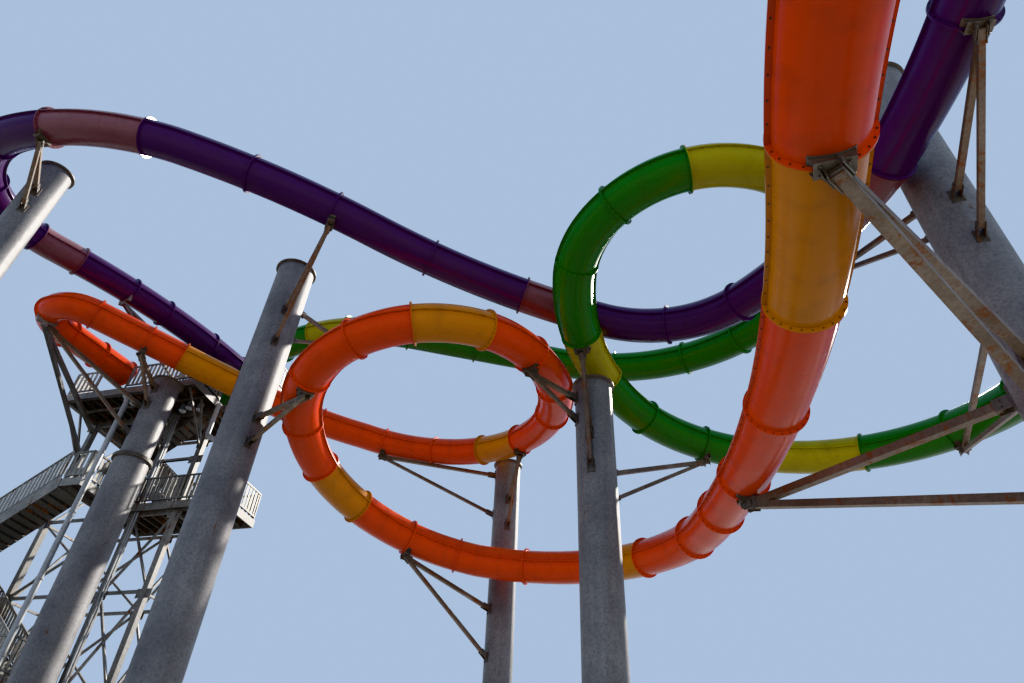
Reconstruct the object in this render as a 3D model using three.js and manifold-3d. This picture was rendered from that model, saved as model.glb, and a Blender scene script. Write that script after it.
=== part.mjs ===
// A water slide tower: three closed tube slides, orange, purple and green, start on the decks of a steel
// stair tower and wind down in long bends. Bracket arms on six round steel columns carry them.
//
// Millimetres, +Z up, +X to the right and +Y away from where a visitor looks up at it. The origin is the
// underside of column D's base plate, on the column's axis, at ground level.
import * as THREE from "three";
import { mergeVertices } from "three/addons/utils/BufferGeometryUtils.js";
import Module from "manifold-3d";

const wasm = await Module();
wasm.setup();

// Clearance between neighbouring pieces that touch.
const GAP = 0.3;

// Slide tube: moulded plastic runs that are bolted end to end.
const TUBE_RADIUS = 525;
const TUBE_BORE = 470;
const TUBE_SIDES = 12;
const BORE_SIDES = 8;
const COLLAR_WIDTH = 60;
const COLLAR_RADIUS = 620;
const LARGEST_TURN = 24;
const LARGEST_BULGE = 60;
const SHORTEST_STEP = 300;

// Columns: round steel tube with a base plate, and a cap plate that stands proud as a rim.
const COLUMN_SIDES = 14;
const BASE_PLATE_MARGIN = 180;
const BASE_PLATE_THICKNESS = 50;
const CAP_RIM = 80;
const CAP_THICKNESS = 60;

// Bracket arms and saddles. A saddle's clearance allows for the slight twist of the tube's facets.
const ARM_SIZE = 120;
const STOUT_ARM_SIZE = 145;
const HEAVY_ARM_SIZE = 170;
const SADDLE_REACH = 110;
const SADDLE_THICKNESS = 120;
const SADDLE_HALF_WIDTH = 300;
const SADDLE_GAP = 0.6;
const LOWER_ARM_SHARE = 0.9;
const SHARED_ARM_END = 260;

// Stair tower.
const LEG_SIZE = 200;
const STRUT_SIZE = 100;
const BRACE_SIZE = 75;
const FASCIA_DEPTH = 300;
const FASCIA_THICKNESS = 60;
const FLOOR_THICKNESS = 80;
const BEAM_HALF_WIDTH = 60;
const RAIL_HEIGHT = 1100;
const LOW_RAIL_HEIGHT = 100;
const POST_FOOT = -60;
const RAIL_SIZE = 60;
const POST_SIZE = 50;
const RAIL_INSET = 40;
const POST_PITCH = 2600;
const TALLEST_RISER = 195;
const FLIGHT_THICKNESS = 180;

const degrees = THREE.MathUtils.degToRad;

const COLOURS = {
  orange: 0xd9480f,
  amber: 0xe8900c,
  purple: 0x4b2a86,
  pink: 0xb87f96,
  green: 0x1f8a1f,
  yellow: 0xd8c81c,
  column: 0x76818c,
  galvanised: 0x9aa0a3,
};

function material(colour, roughness, metalness) {
  return new THREE.MeshStandardMaterial({ color: COLOURS[colour], roughness, metalness });
}

const tubeMaterial = (colour) => material(colour, 0.3, 0);
const columnMaterial = material("column", 0.55, 0.6);
const steelMaterial = material("galvanised", 0.5, 0.7);

// Solids

function solidOf(geometry) {
  const plain = geometry.clone();
  plain.deleteAttribute("normal");
  plain.deleteAttribute("uv");
  const merged = mergeVertices(plain, 1e-3);
  return new wasm.Manifold(
    new wasm.Mesh({
      numProp: 3,
      vertProperties: merged.attributes.position.array,
      triVerts: new Uint32Array(merged.index.array),
    }),
  );
}

function geometryOf(solid) {
  const mesh = solid.getMesh();
  const geometry = new THREE.BufferGeometry();
  geometry.setAttribute("position", new THREE.BufferAttribute(mesh.vertProperties, 3));
  geometry.setIndex(new THREE.BufferAttribute(mesh.triVerts, 1));
  geometry.computeVertexNormals();
  return geometry;
}

function union(solids) {
  return solids.reduce((whole, solid) => whole.add(solid));
}

function box(low, high) {
  const geometry = new THREE.BoxGeometry(high[0] - low[0], high[1] - low[1], high[2] - low[2]);
  geometry.translate((low[0] + high[0]) / 2, (low[1] + high[1]) / 2, (low[2] + high[2]) / 2);
  return solidOf(geometry);
}

// A square bar from one point to another, with two of its faces upright.
function bar(from, to, size) {
  const start = new THREE.Vector3(...from);
  const end = new THREE.Vector3(...to);
  const along = end.clone().sub(start);
  const length = along.length();
  const geometry = new THREE.BoxGeometry(size, size, length);
  const forward = along.normalize();
  const upright = Math.abs(forward.z) > 0.999 ? new THREE.Vector3(0, 1, 0) : new THREE.Vector3(0, 0, 1);
  const side = upright.clone().cross(forward).normalize();
  const top = forward.clone().cross(side);
  const turn = new THREE.Matrix4().makeBasis(side, top, forward);
  turn.setPosition(start.add(end).multiplyScalar(0.5));
  geometry.applyMatrix4(turn);
  return solidOf(geometry);
}

// An upright round piece, from one height to another.
function drum(centre, radius, low, high) {
  const geometry = new THREE.CylinderGeometry(radius, radius, high - low, COLUMN_SIDES);
  geometry.rotateX(Math.PI / 2);
  geometry.translate(centre[0], centre[1], (low + high) / 2);
  return solidOf(geometry);
}

// Slide routes. A route starts at the middle of the tube, with its heading in degrees from +X, and runs in
// straights and bends. A left turn is positive, and fall is the drop for each unit of level distance.

const straight = (length, fall) => ({ length, fall, turn: 0 });
const bend = (turn, radius, fall) => ({ length: Math.abs(degrees(turn)) * radius, fall, turn, radius });

const ORANGE = {
  start: [-18570, 7400, 18400],
  heading: -108.5,
  runs: [
    straight(3200, 0.1),
    bend(144, 1300, 0.1),
    straight(6200, 0.1),
    bend(-20, 13450, 0.1),
    bend(-149.5, 5900, 0.17),
    bend(-128, 3450, 0.185),
    bend(-63, 5650, 0.18),
    bend(-35.5, 4850, 0.18),
    bend(-88, 6300, 0.13),
    bend(-21.8, 32950, 0.1),
    bend(17.5, 23100, 0.1),
  ],
};

const PURPLE = {
  start: [-14870, 10600, 20800],
  heading: -106.5,
  runs: [
    bend(-21, 27600, 0.1),
    bend(104.5, 3400, 0.1),
    bend(34.5, 9400, 0.14),
    bend(12.5, 27700, 0.19),
    bend(-17.5, 24150, 0.19),
    bend(-68, 3650, 0.17),
    bend(-29, 11200, 0.17),
    bend(-25, 19800, 0.12),
  ],
};

const GREEN = {
  start: [-15070, 9700, 18750],
  heading: -53.5,
  runs: [
    straight(4300, 0.06),
    bend(59, 7100, 0.07),
    straight(5550, 0.09),
    bend(-92.5, 6350, 0.1),
    bend(-91, 4000, 0.12),
    bend(-95, 3200, 0.13),
    bend(-44, 6800, 0.16),
    bend(-160, 5500, 0.15),
  ],
};

// The stations, in millimetres along the level route, where one colour ends and the next begins.
ORANGE.pieces = [
  ["orange_run_1", "orange", 0, 9700],
  ["amber_run_1", "amber", 9700, 12800],
  ["orange_run_2", "orange", 12800, 22600],
  ["amber_run_2", "amber", 22600, 24650],
  ["orange_run_3", "orange", 24650, 33600],
  ["amber_run_3", "amber", 33600, 35600],
  ["orange_run_4", "orange", 35600, 43000],
  ["amber_run_4", "amber", 43000, 45100],
  ["orange_run_5", "orange", 45100, 53900],
  ["amber_run_5", "amber", 53900, 55900],
  ["orange_run_6", "orange", 55900, 69050],
  ["amber_run_6", "amber", 69050, 72150],
  ["orange_run_7", "orange", 72150, 78000],
];

PURPLE.pieces = [
  ["purple_run_1", "purple", 1000, 9200],
  ["pink_run_1", "pink", 9200, 10800],
  ["purple_run_2", "purple", 10800, 18100],
  ["pink_run_2", "pink", 18100, 21200],
  ["purple_run_3", "purple", 21200, 32900],
  ["pink_run_3", "pink", 32900, 34500],
  ["purple_run_4", "purple", 34500, 42500],
  ["pink_run_4", "pink", 42500, 45400],
  ["purple_run_5", "purple", 45400, 52000],
];

// A joint ring at the green slide's farthest reach to the right.
GREEN.collars = [57100];

GREEN.pieces = [
  ["green_run_1", "green", 0, 7700],
  ["yellow_run_1", "yellow", 7700, 9200],
  ["green_run_2", "green", 9200, 31800],
  ["yellow_run_2", "yellow", 31800, 34700],
  ["green_run_3", "green", 34700, 41100],
  ["yellow_run_3", "yellow", 41100, 43000],
  ["green_run_4", "green", 43000, 49500],
  ["yellow_run_4", "yellow", 49500, 52200],
  ["green_run_5", "green", 52200, 59000],
];

// The place and heading of a route at a station.
function placeOn(route, station) {
  let [x, y, z] = route.start;
  let heading = degrees(route.heading);
  let left = station;
  for (const run of route.runs) {
    const length = Math.min(left, run.length);
    if (run.turn === 0) {
      x += length * Math.cos(heading);
      y += length * Math.sin(heading);
    } else {
      const side = Math.sign(run.turn);
      const turned = heading + (side * length) / run.radius;
      x += side * run.radius * (Math.sin(turned) - Math.sin(heading));
      y -= side * run.radius * (Math.cos(turned) - Math.cos(heading));
      heading = turned;
    }
    z -= length * run.fall;
    left -= length;
    if (left <= 0) break;
  }
  return { point: new THREE.Vector3(x, y, z), heading };
}

// The number of straight steps that a run is made of, so that a bend bulges little between its sections.
function stepsIn(run) {
  if (run.turn === 0) return 1;
  const angle = THREE.MathUtils.radToDeg(2 * Math.acos(1 - LARGEST_BULGE / run.radius));
  return Math.ceil(Math.abs(run.turn) / Math.min(angle, LARGEST_TURN));
}

// The stations where a route's tube has a section: at its runs' ends and in even steps round its bends.
function sectionStations(route) {
  const stations = [0];
  let start = 0;
  for (const run of route.runs) {
    const steps = stepsIn(run);
    for (let step = 1; step <= steps; step += 1) {
      stations.push(start + (run.length * step) / steps);
    }
    start += run.length;
  }
  return stations;
}

// The three sections that a tube and the saddle under it have in common, so that they fit face to face.
function seatSections(station) {
  return [station - SADDLE_THICKNESS / 2, station, station + SADDLE_THICKNESS / 2];
}

// The stations of a tube piece's sections. A bend's section that is close to an end or a saddle is left out.
function stationsBetween(route, from, to) {
  const seats = route.seats.flatMap(seatSections).filter((station) => station > from + 1 && station < to - 1);
  const inner = sectionStations(route).filter((station) =>
    [from, to, ...seats].every((other) => Math.abs(station - other) > SHORTEST_STEP),
  );
  const between = [...inner.filter((station) => station > from && station < to), ...seats];
  return [from, ...between.sort((a, b) => a - b), to];
}

// The tube's section: an outline and a bore.
function tubeSection() {
  const ring = (size, sides, sense) =>
    Array.from({ length: sides }, (_, i) => {
      const angle = (sense * 2 * Math.PI * (i + 0.5)) / sides;
      return new THREE.Vector2(size * Math.cos(angle), size * Math.sin(angle));
    });
  const shape = new THREE.Shape(ring(TUBE_RADIUS, TUBE_SIDES, 1));
  shape.holes.push(new THREE.Path(ring(TUBE_BORE, BORE_SIDES, -1)));
  return shape;
}

// Sweeps a section along a route. Every section stands upright, so neighbours meet face to face.
function sweep(route, stations, section, isCollar = () => false) {
  const steps = stations.length - 1;
  const geometry = new THREE.ExtrudeGeometry(section, { steps, depth: steps, bevelEnabled: false });
  const places = stations.map((station) => placeOn(route, station));
  const position = geometry.getAttribute("position");
  for (let i = 0; i < position.count; i += 1) {
    const station = Math.round(position.getZ(i));
    const { point, heading } = places[station];
    const reach = Math.hypot(position.getX(i), position.getY(i));
    const swell = reach > TUBE_BORE + 1 && isCollar(stations[station]) ? COLLAR_RADIUS / reach : 1;
    const across = position.getX(i) * swell;
    const up = position.getY(i) * swell;
    position.setXYZ(
      i,
      point.x - across * Math.sin(heading),
      point.y + across * Math.cos(heading),
      point.z + up,
    );
  }
  return geometry;
}

// One run of tube. A slide has a collar at each open end, and where its route names one.
function tubePiece(route, from, to) {
  const stations = stationsBetween(route, from + GAP / 2, to - GAP / 2);
  const [first, last] = [stations[0], stations.at(-1)];
  const ends = [route.pieces[0][2] + (GAP + COLLAR_WIDTH) / 2, route.pieces.at(-1)[3] - (GAP + COLLAR_WIDTH) / 2];
  const collars = [];
  for (const middle of [...ends, ...(route.collars ?? [])]) {
    if (middle < from || middle > to) continue;
    const edges = [middle - COLLAR_WIDTH / 2, middle + COLLAR_WIDTH / 2];
    const sections = [edges[0] - 1, ...edges, edges[1] + 1];
    collars.push(...edges);
    stations.push(...sections.filter((station) => station > first + 0.5 && station < last - 0.5));
  }
  stations.sort((a, b) => a - b);
  const isCollar = (station) => collars.some((edge) => Math.abs(edge - station) < 0.5);
  return sweep(route, stations, tubeSection(), isCollar);
}

// Columns and their arms

// A saddle under a tube: its top follows the tube's lower sides, and a lug hangs below it.
function saddle(route, station) {
  const radius = TUBE_RADIUS + SADDLE_GAP;
  const top = [225, 255, 285, 315].map((angle) => [
    radius * Math.cos(degrees(angle)),
    radius * Math.sin(degrees(angle)),
  ]);
  const foot = -TUBE_RADIUS - SADDLE_REACH;
  const points = [
    ...top,
    [SADDLE_HALF_WIDTH, foot],
    [SADDLE_REACH, foot],
    [SADDLE_REACH, foot - SADDLE_REACH],
    [-SADDLE_REACH, foot - SADDLE_REACH],
    [-SADDLE_REACH, foot],
    [-SADDLE_HALF_WIDTH, foot],
  ];
  const section = new THREE.Shape(points.map(([x, y]) => new THREE.Vector2(x, y)));
  return solidOf(sweep(route, seatSections(station), section));
}

function lugPoint(route, station) {
  const { point } = placeOn(route, station);
  return [point.x, point.y, point.z - TUBE_RADIUS - 1.5 * SADDLE_REACH];
}

// The arms from a saddle to an upright at the given heights, the upper one first and the lower one slimmer.
// Arms to a saddle that another upright carries are shared: they end beside its lug.
function bracket(centre, radius, { route, station, feet, size = ARM_SIZE, shared = false }) {
  const lug = lugPoint(route, station);
  const reach = Math.hypot(lug[0] - centre[0], lug[1] - centre[1]);
  const toward = [(lug[0] - centre[0]) / reach, (lug[1] - centre[1]) / reach];
  const beside = [0, 1].map((axis) => lug[axis] - toward[axis] * SHARED_ARM_END);
  const end = shared ? [...beside, lug[2] - SADDLE_REACH / 2] : lug;
  const arms = feet.map((height, i) => {
    const foot = [centre[0] + toward[0] * radius * 0.8, centre[1] + toward[1] * radius * 0.8, height];
    return bar(foot, end, size * LOWER_ARM_SHARE ** i);
  });
  return shared ? union(arms) : union([saddle(route, station), ...arms]);
}

// A column in one length, or with a wider lower length up to a splice ring.
function column({ centre, radius, top, brackets, lower = { radius, top } }) {
  const parts = [
    drum(centre, lower.radius, BASE_PLATE_THICKNESS / 2, lower.top - CAP_THICKNESS / 2),
    drum(centre, radius, lower.top - CAP_THICKNESS, top - CAP_THICKNESS / 2),
    drum(centre, lower.radius + BASE_PLATE_MARGIN, 0, BASE_PLATE_THICKNESS),
    drum(centre, radius + CAP_RIM, top - CAP_THICKNESS, top),
  ];
  if (lower.top < top) {
    parts.push(drum(centre, lower.radius + CAP_RIM, lower.top - CAP_THICKNESS, lower.top + CAP_THICKNESS));
  }
  return union([...parts, ...brackets.map((each) => bracket(centre, radius, each))]);
}

const COLUMNS = {
  column_a: {
    centre: [-17460, -2010],
    radius: 480,
    top: 19400,
    brackets: [{ route: PURPLE, station: 18100, feet: [18000, 17160] }],
  },
  column_b: {
    centre: [-10060, 970],
    radius: 600,
    top: 18500,
    brackets: [
      { route: PURPLE, station: 26800, feet: [16230, 14880] },
      { route: ORANGE, station: 39100, feet: [12210, 11330] },
      { route: GREEN, station: 9200, feet: [17110, 15760] },
    ],
  },
  column_c: {
    centre: [-2310, 8450],
    radius: 490,
    top: 15600,
    brackets: [
      { route: ORANGE, station: 18200, feet: [15110, 13380] },
      { route: ORANGE, station: 24650, feet: [13800, 12660] },
      { route: ORANGE, station: 47200, feet: [9740, 8110] },
    ],
  },
  column_d: {
    centre: [0, 0],
    radius: 526,
    top: 13500,
    brackets: [
      { route: ORANGE, station: 31700, feet: [12910, 12130] },
      { route: GREEN, station: 41100, feet: [11070, 9830] },
      { route: GREEN, station: 47300, feet: [10790, 9990] },
    ],
  },
  column_e: {
    centre: [6530, -7150],
    radius: 580,
    top: 18200,
    brackets: [
      { route: PURPLE, station: 48700, feet: [13000, 11750] },
      { route: GREEN, station: 28200, feet: [13900, 12980] },
      { route: ORANGE, station: 72150, feet: [9030, 7310], size: HEAVY_ARM_SIZE },
      { route: ORANGE, station: 62600, feet: [8670, 6840], size: HEAVY_ARM_SIZE },
      { route: GREEN, station: 54800, feet: [10960, 8920] },
    ],
  },
  column_g: {
    centre: [-15740, 5910],
    radius: 520,
    top: 16950,
    lower: { radius: 600, top: 13500 },
    brackets: [
      { route: ORANGE, station: 8400, feet: [16300, 15500] },
      { route: ORANGE, station: 4600, feet: [15600, 14400], shared: true },
    ],
  },
};

// The tower's front frame carries the orange slide's first bend and the purple slide's first long run.
const LEFT_LEG_BRACKET = { route: ORANGE, station: 4600, feet: [16650, 15500], size: STOUT_ARM_SIZE };
const MIDDLE_LEG_BRACKET = { route: PURPLE, station: 7100, feet: [19250, 18000] };

const saddleBrackets = [
  ...Object.values(COLUMNS).flatMap((each) => each.brackets.filter(({ shared }) => !shared)),
  LEFT_LEG_BRACKET,
  MIDDLE_LEG_BRACKET,
];
for (const route of [ORANGE, PURPLE, GREEN]) {
  route.seats = saddleBrackets.filter((each) => each.route === route).map((each) => each.station);
}

// Stair tower, in its own frame: it looks along -Y at the slides, and its long side is X.
const TOWER_PLACE = [-16200, 8310, 0];
const TOWER_TURN = -16;
const LEG_X = [-4000, 0, 1800];
const BACK_Y = 1900;
const LOWER_DECK = 17300;
const UPPER_DECK = 19700;
const MIDDLE_LANDING = 12900;
const HALF_LANDING = 15100;
const OUTER_X = [-6600, -5550];
const FLIGHT_TOP_X = -1350;
const LANE_FRONT = [-2450, -1380];
const LANE_BACK = [-1270, -200];
const STOREY = MIDDLE_LANDING / 4;
const DECK_UNDERSIDE = LOWER_DECK - FASCIA_DEPTH;
const STRUT_TOPS = [STOREY, 2 * STOREY, 3 * STOREY, MIDDLE_LANDING - FASCIA_DEPTH - GAP, 14900, DECK_UNDERSIDE - GAP];
const BRACED_STOREYS = 4;

const towerFrame = new THREE.Matrix4()
  .makeRotationZ(degrees(TOWER_TURN))
  .setPosition(new THREE.Vector3(...TOWER_PLACE));

function toTower(solid) {
  return solidOf(geometryOf(solid).applyMatrix4(towerFrame.clone().invert()));
}

function leg(x, y, top, size = LEG_SIZE) {
  const half = size / 2;
  return union([
    box([x - half, y - half, 0], [x + half, y + half, top]),
    box([x - size, y - size, 0], [x + size, y + size, BASE_PLATE_THICKNESS]),
  ]);
}

// One long side of the tower: three legs, level struts, and crossed braces in the lower storeys.
function longFrame(y, tops) {
  const parts = LEG_X.map((x, i) => leg(x, y, tops[i]));
  for (const top of STRUT_TOPS) {
    const middle = top - STRUT_SIZE / 2;
    parts.push(bar([LEG_X[0], y, middle], [LEG_X[2], y, middle], STRUT_SIZE));
  }
  const levels = [200, ...STRUT_TOPS];
  for (let storey = 0; storey < BRACED_STOREYS; storey += 1) {
    for (let bay = 0; bay < 2; bay += 1) {
      const low = levels[storey];
      const high = levels[storey + 1] - STRUT_SIZE;
      parts.push(bar([LEG_X[bay], y, low], [LEG_X[bay + 1], y, high], BRACE_SIZE));
      parts.push(bar([LEG_X[bay + 1], y, low], [LEG_X[bay], y, high], BRACE_SIZE));
    }
  }
  return union(parts);
}

// One short side of the tower: rungs and diagonals between a front leg and a back leg, on a bolted rail
// at each leg. The right one ends under the middle landing.
function shortFrame(x, storeys) {
  const near = LEG_SIZE / 2 + GAP;
  const far = BACK_Y - LEG_SIZE / 2 - GAP;
  const width = BRACE_SIZE / 2;
  const low = 300;
  const levels = [low, ...STRUT_TOPS.slice(0, storeys).map((top) => top - BRACE_SIZE / 2)];
  const parts = [
    box([x - width, near, low], [x + width, near + BRACE_SIZE, levels.at(-1)]),
    box([x - width, far - BRACE_SIZE, low], [x + width, far, levels.at(-1)]),
  ];
  for (let i = 1; i < levels.length; i += 1) {
    const top = levels[i] - BRACE_SIZE;
    parts.push(bar([x, near + width, top], [x, far - width, top], BRACE_SIZE));
    parts.push(bar([x, near + width, levels[i - 1]], [x, far - width, top], BRACE_SIZE));
  }
  return union(parts);
}

// One bay of railing along a floor line: a post at each end, a top rail and a low rail.
function railBay(from, to) {
  const run = [to[0] - from[0], to[1] - from[1]];
  const length = Math.hypot(...run);
  const slope = (to[2] - from[2]) / length;
  const place = ([along, height]) => new THREE.Vector2(along, height + slope * along);
  const [low, high] = [POST_SIZE, length - POST_SIZE];
  const outline = [
    [length, RAIL_HEIGHT],
    [0, RAIL_HEIGHT],
    [0, POST_FOOT],
    [low, POST_FOOT],
    [low, LOW_RAIL_HEIGHT],
    [high, LOW_RAIL_HEIGHT],
    [high, POST_FOOT],
    [length, POST_FOOT],
  ];
  const opening = [
    [low, LOW_RAIL_HEIGHT + RAIL_SIZE],
    [low, RAIL_HEIGHT - RAIL_SIZE],
    [high, RAIL_HEIGHT - RAIL_SIZE],
    [high, LOW_RAIL_HEIGHT + RAIL_SIZE],
  ];
  const shape = new THREE.Shape(outline.map(place));
  shape.holes.push(new THREE.Path(opening.map(place)));
  const geometry = new THREE.ExtrudeGeometry(shape, { depth: POST_SIZE, bevelEnabled: false });
  geometry.translate(0, 0, -POST_SIZE / 2);
  const along = new THREE.Vector3(run[0] / length, run[1] / length, 0);
  const up = new THREE.Vector3(0, 0, 1);
  const across = along.clone().cross(up);
  geometry.applyMatrix4(new THREE.Matrix4().makeBasis(along, up, across).setPosition(...from));
  return solidOf(geometry);
}

// A railing along corner points [x, y, floor height]. Its bays share their posts.
function railing(corners) {
  const bays = [];
  for (let i = 0; i < corners.length - 1; i += 1) {
    const [from, to] = [corners[i], corners[i + 1]];
    const length = Math.hypot(to[0] - from[0], to[1] - from[1]);
    const count = Math.max(1, Math.round(length / POST_PITCH));
    const pitch = (length - POST_SIZE) / count;
    const at = (distance) => from.map((value, axis) => value + ((to[axis] - value) * distance) / length);
    for (let bay = 0; bay < count; bay += 1) {
      bays.push(railBay(at(bay * pitch), at((bay + 1) * pitch + POST_SIZE)));
    }
  }
  return union(bays);
}

function levelRailing(corners, level) {
  return railing(corners.map(([x, y]) => [x, y, level]));
}

// A platform over one or more rectangles [low x, low y, high x, high y]: a floor plate on fascia beams.
function platform(rectangles, level) {
  const bottom = level - FASCIA_DEPTH;
  const plates = rectangles.map(([x0, y0, x1, y1]) => box([x0, y0, bottom], [x1, y1, level]));
  const hollows = rectangles.map(([x0, y0, x1, y1]) =>
    box(
      [x0 + FASCIA_THICKNESS, y0 + FASCIA_THICKNESS, bottom - 1],
      [x1 - FASCIA_THICKNESS, y1 - FASCIA_THICKNESS, level - FLOOR_THICKNESS],
    ),
  );
  return hollows.reduce((whole, hollow) => whole.subtract(hollow), union(plates));
}

// A beam under a platform, over a rectangle: as deep as the fascia, and let into the floor plate.
function beam([x0, y0, x1, y1], level) {
  return box([x0, y0, level - FASCIA_DEPTH], [x1, y1, level - FLOOR_THICKNESS / 2]);
}

// The hole that a leg needs where it passes up through a platform.
function legHole(x, y, level) {
  const half = LEG_SIZE / 2 + GAP;
  return box([x - half, y - half, level - 2 * FASCIA_DEPTH], [x + half, y + half, level + FASCIA_DEPTH]);
}

// A flight in a lane [low y, high y], from its foot [x, z] to its head [x, z]: steps on a sloping plate.
function flight(lane, foot, head) {
  const rise = head[1] - foot[1];
  const risers = Math.ceil(rise / TALLEST_RISER);
  const going = (head[0] - foot[0]) / risers;
  const riser = rise / risers;
  const points = [];
  for (let step = 0; step < risers; step += 1) {
    points.push([foot[0] + going * step, foot[1] + riser * step]);
    points.push([foot[0] + going * step, foot[1] + riser * (step + 1)]);
  }
  points.push([head[0], head[1]]);
  points.push([head[0], head[1] - FLIGHT_THICKNESS - riser]);
  points.push([foot[0] + going * 1.2, foot[1]]);
  const outline = new THREE.Shape(points.map(([x, z]) => new THREE.Vector2(x, z)));
  const steps = new THREE.ExtrudeGeometry(outline, { depth: lane[1] - lane[0], bevelEnabled: false });
  steps.rotateX(Math.PI / 2);
  steps.translate(0, lane[1], 0);
  const solid = solidOf(steps);
  const ends = [
    [foot[0] + 1.5 * going, foot[1] + 2.5 * riser],
    [head[0] - 0.5 * going, head[1] + 0.5 * riser],
  ];
  const rails = [lane[0] + RAIL_INSET, lane[1] - RAIL_INSET].map((y) =>
    railing(ends.map(([x, z]) => [x, y, z])),
  );
  return union([solid, ...rails]);
}

const object = new THREE.Group();
const tower = new THREE.Group();
tower.applyMatrix4(towerFrame);
object.add(tower);

function add(name, geometry, finish, group = object) {
  const mesh = new THREE.Mesh(geometry, finish);
  mesh.name = name;
  group.add(mesh);
}

function addSteel(name, solid) {
  add(name, geometryOf(solid), steelMaterial, tower);
}

for (const route of [ORANGE, PURPLE, GREEN]) {
  for (const [name, colour, from, to] of route.pieces) {
    add(name, tubePiece(route, from, to), tubeMaterial(colour));
  }
}

for (const [name, spec] of Object.entries(COLUMNS)) {
  add(name, geometryOf(column(spec)), columnMaterial);
}

// The frames of the tower's long and short sides.
const deckLegTop = DECK_UNDERSIDE - GAP;
const tallLegTop = UPPER_DECK - FASCIA_DEPTH - GAP;
const frontLegs = [LEG_X[0], LEG_X[1]].map((x) => new THREE.Vector3(x, 0, 0).applyMatrix4(towerFrame));
const [leftLeg, middleLeg] = frontLegs.map(({ x, y }) => [x, y]);
addSteel(
  "tower_front_frame",
  union([
    longFrame(0, [deckLegTop, tallLegTop, deckLegTop]),
    toTower(bracket(leftLeg, LEG_SIZE / 2, LEFT_LEG_BRACKET)),
    toTower(bracket(middleLeg, LEG_SIZE / 2, MIDDLE_LEG_BRACKET)),
  ]),
);
addSteel("tower_back_frame", longFrame(BACK_Y, [deckLegTop, tallLegTop, tallLegTop]));
addSteel("tower_left_bracing", shortFrame(LEG_X[0], 6));
addSteel("tower_right_bracing", shortFrame(LEG_X[2], 4));

// Lower deck, where the orange and the green slides start, with a stair well.
const lowerDeck = union([
  platform(
    [
      [-4100, -1900, 2100, 20],
      [-4100, 0, 2800, 1800 - GAP],
    ],
    LOWER_DECK,
  ),
  beam([-4090, -BEAM_HALF_WIDTH, 2090, BEAM_HALF_WIDTH], LOWER_DECK),
  beam([LEG_X[0] - BEAM_HALF_WIDTH, -1890, LEG_X[0] + BEAM_HALF_WIDTH, 1790], LOWER_DECK),
  beam([LEG_X[2] - BEAM_HALF_WIDTH, 10, LEG_X[2] + BEAM_HALF_WIDTH, 1790], LOWER_DECK),
]);
const lowerRails = [
  [[-4060, 1760], [-4060, -1860], [-2750, -1860]],
  [[-1300, -1860], [2060, -1860], [2060, -300]],
  [[2760, 850], [2760, 1760], [1650, 1760]],
  [[-150, 1760], [-4060, 1760]],
];
const well = box([-1400, 100, LOWER_DECK - 2 * FASCIA_DEPTH], [900, 870, LOWER_DECK + 1]);
addSteel(
  "lower_deck",
  union([
    lowerDeck.subtract(legHole(LEG_X[1], 0, LOWER_DECK)).subtract(well),
    ...lowerRails.map((corners) => levelRailing(corners, LOWER_DECK)),
  ]),
);

// Upper deck, where the purple slide starts.
const upperRails = [
  [[-960, 1900], [-960, 3360], [2760, 3360], [2760, 990], [1400, 990]],
  [[-80, 990], [-900, 990]],
];
addSteel(
  "upper_deck",
  union([
    platform([[-1000, 950, 2800, 3400]], UPPER_DECK),
    beam([-BEAM_HALF_WIDTH, -LEG_SIZE / 2, BEAM_HALF_WIDTH, 3390], UPPER_DECK),
    beam([LEG_X[2] - BEAM_HALF_WIDTH, 960, LEG_X[2] + BEAM_HALF_WIDTH, 3390], UPPER_DECK),
    ...upperRails.map((corners) => levelRailing(corners, UPPER_DECK)),
  ]),
);

// Middle landing, from the head of the outer stair to the right-hand end.
const middleRails = [
  [[-1310, -2410], [-490, -2410], [-490, -210], [3860, -210], [3860, 1760], [1100, 1760]],
  [[-1310, -1250], [-1310, 1760]],
];
addSteel(
  "middle_landing",
  union([
    platform(
      [
        [FLIGHT_TOP_X, -250, 3900, 1800 - GAP],
        [FLIGHT_TOP_X, -2450, -450, -200],
      ],
      MIDDLE_LANDING,
    )
      .add(beam([FLIGHT_TOP_X + 10, -BEAM_HALF_WIDTH, 3890, BEAM_HALF_WIDTH], MIDDLE_LANDING))
      .subtract(legHole(LEG_X[1], 0, MIDDLE_LANDING))
      .subtract(legHole(LEG_X[2], 0, MIDDLE_LANDING)),
    ...middleRails.map((corners) => levelRailing(corners, MIDDLE_LANDING)),
  ]),
);

// Outer stair: four flights up to the middle landing, between an outer frame and the tower's front.
const OUTER_POST = 120;
const outerPostX = [OUTER_X[0] + OUTER_POST / 2, OUTER_X[1] - OUTER_POST / 2];
const outerPostY = [LANE_FRONT[0] - OUTER_POST / 2 - GAP, LANE_BACK[1] + OUTER_POST / 2 + GAP];
const outerTop = 3 * STOREY + RAIL_HEIGHT;
function outerFrame() {
  const parts = [];
  for (const x of outerPostX) {
    for (const y of outerPostY) parts.push(leg(x, y, outerTop, OUTER_POST));
  }
  for (const storey of [1, 3]) {
    const z = storey * STOREY - FASCIA_DEPTH - GAP - BRACE_SIZE / 2;
    for (const x of outerPostX) parts.push(bar([x, outerPostY[0], z], [x, outerPostY[1], z], BRACE_SIZE));
    for (const y of outerPostY) parts.push(bar([outerPostX[0], y, z], [outerPostX[1], y, z], BRACE_SIZE));
    for (const x of outerPostX) {
      parts.push(bar([x, outerPostY[0], z - 2400], [x, outerPostY[1], z], BRACE_SIZE));
    }
  }
  return union(parts);
}
addSteel("outer_stair_frame", outerFrame());

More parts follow.
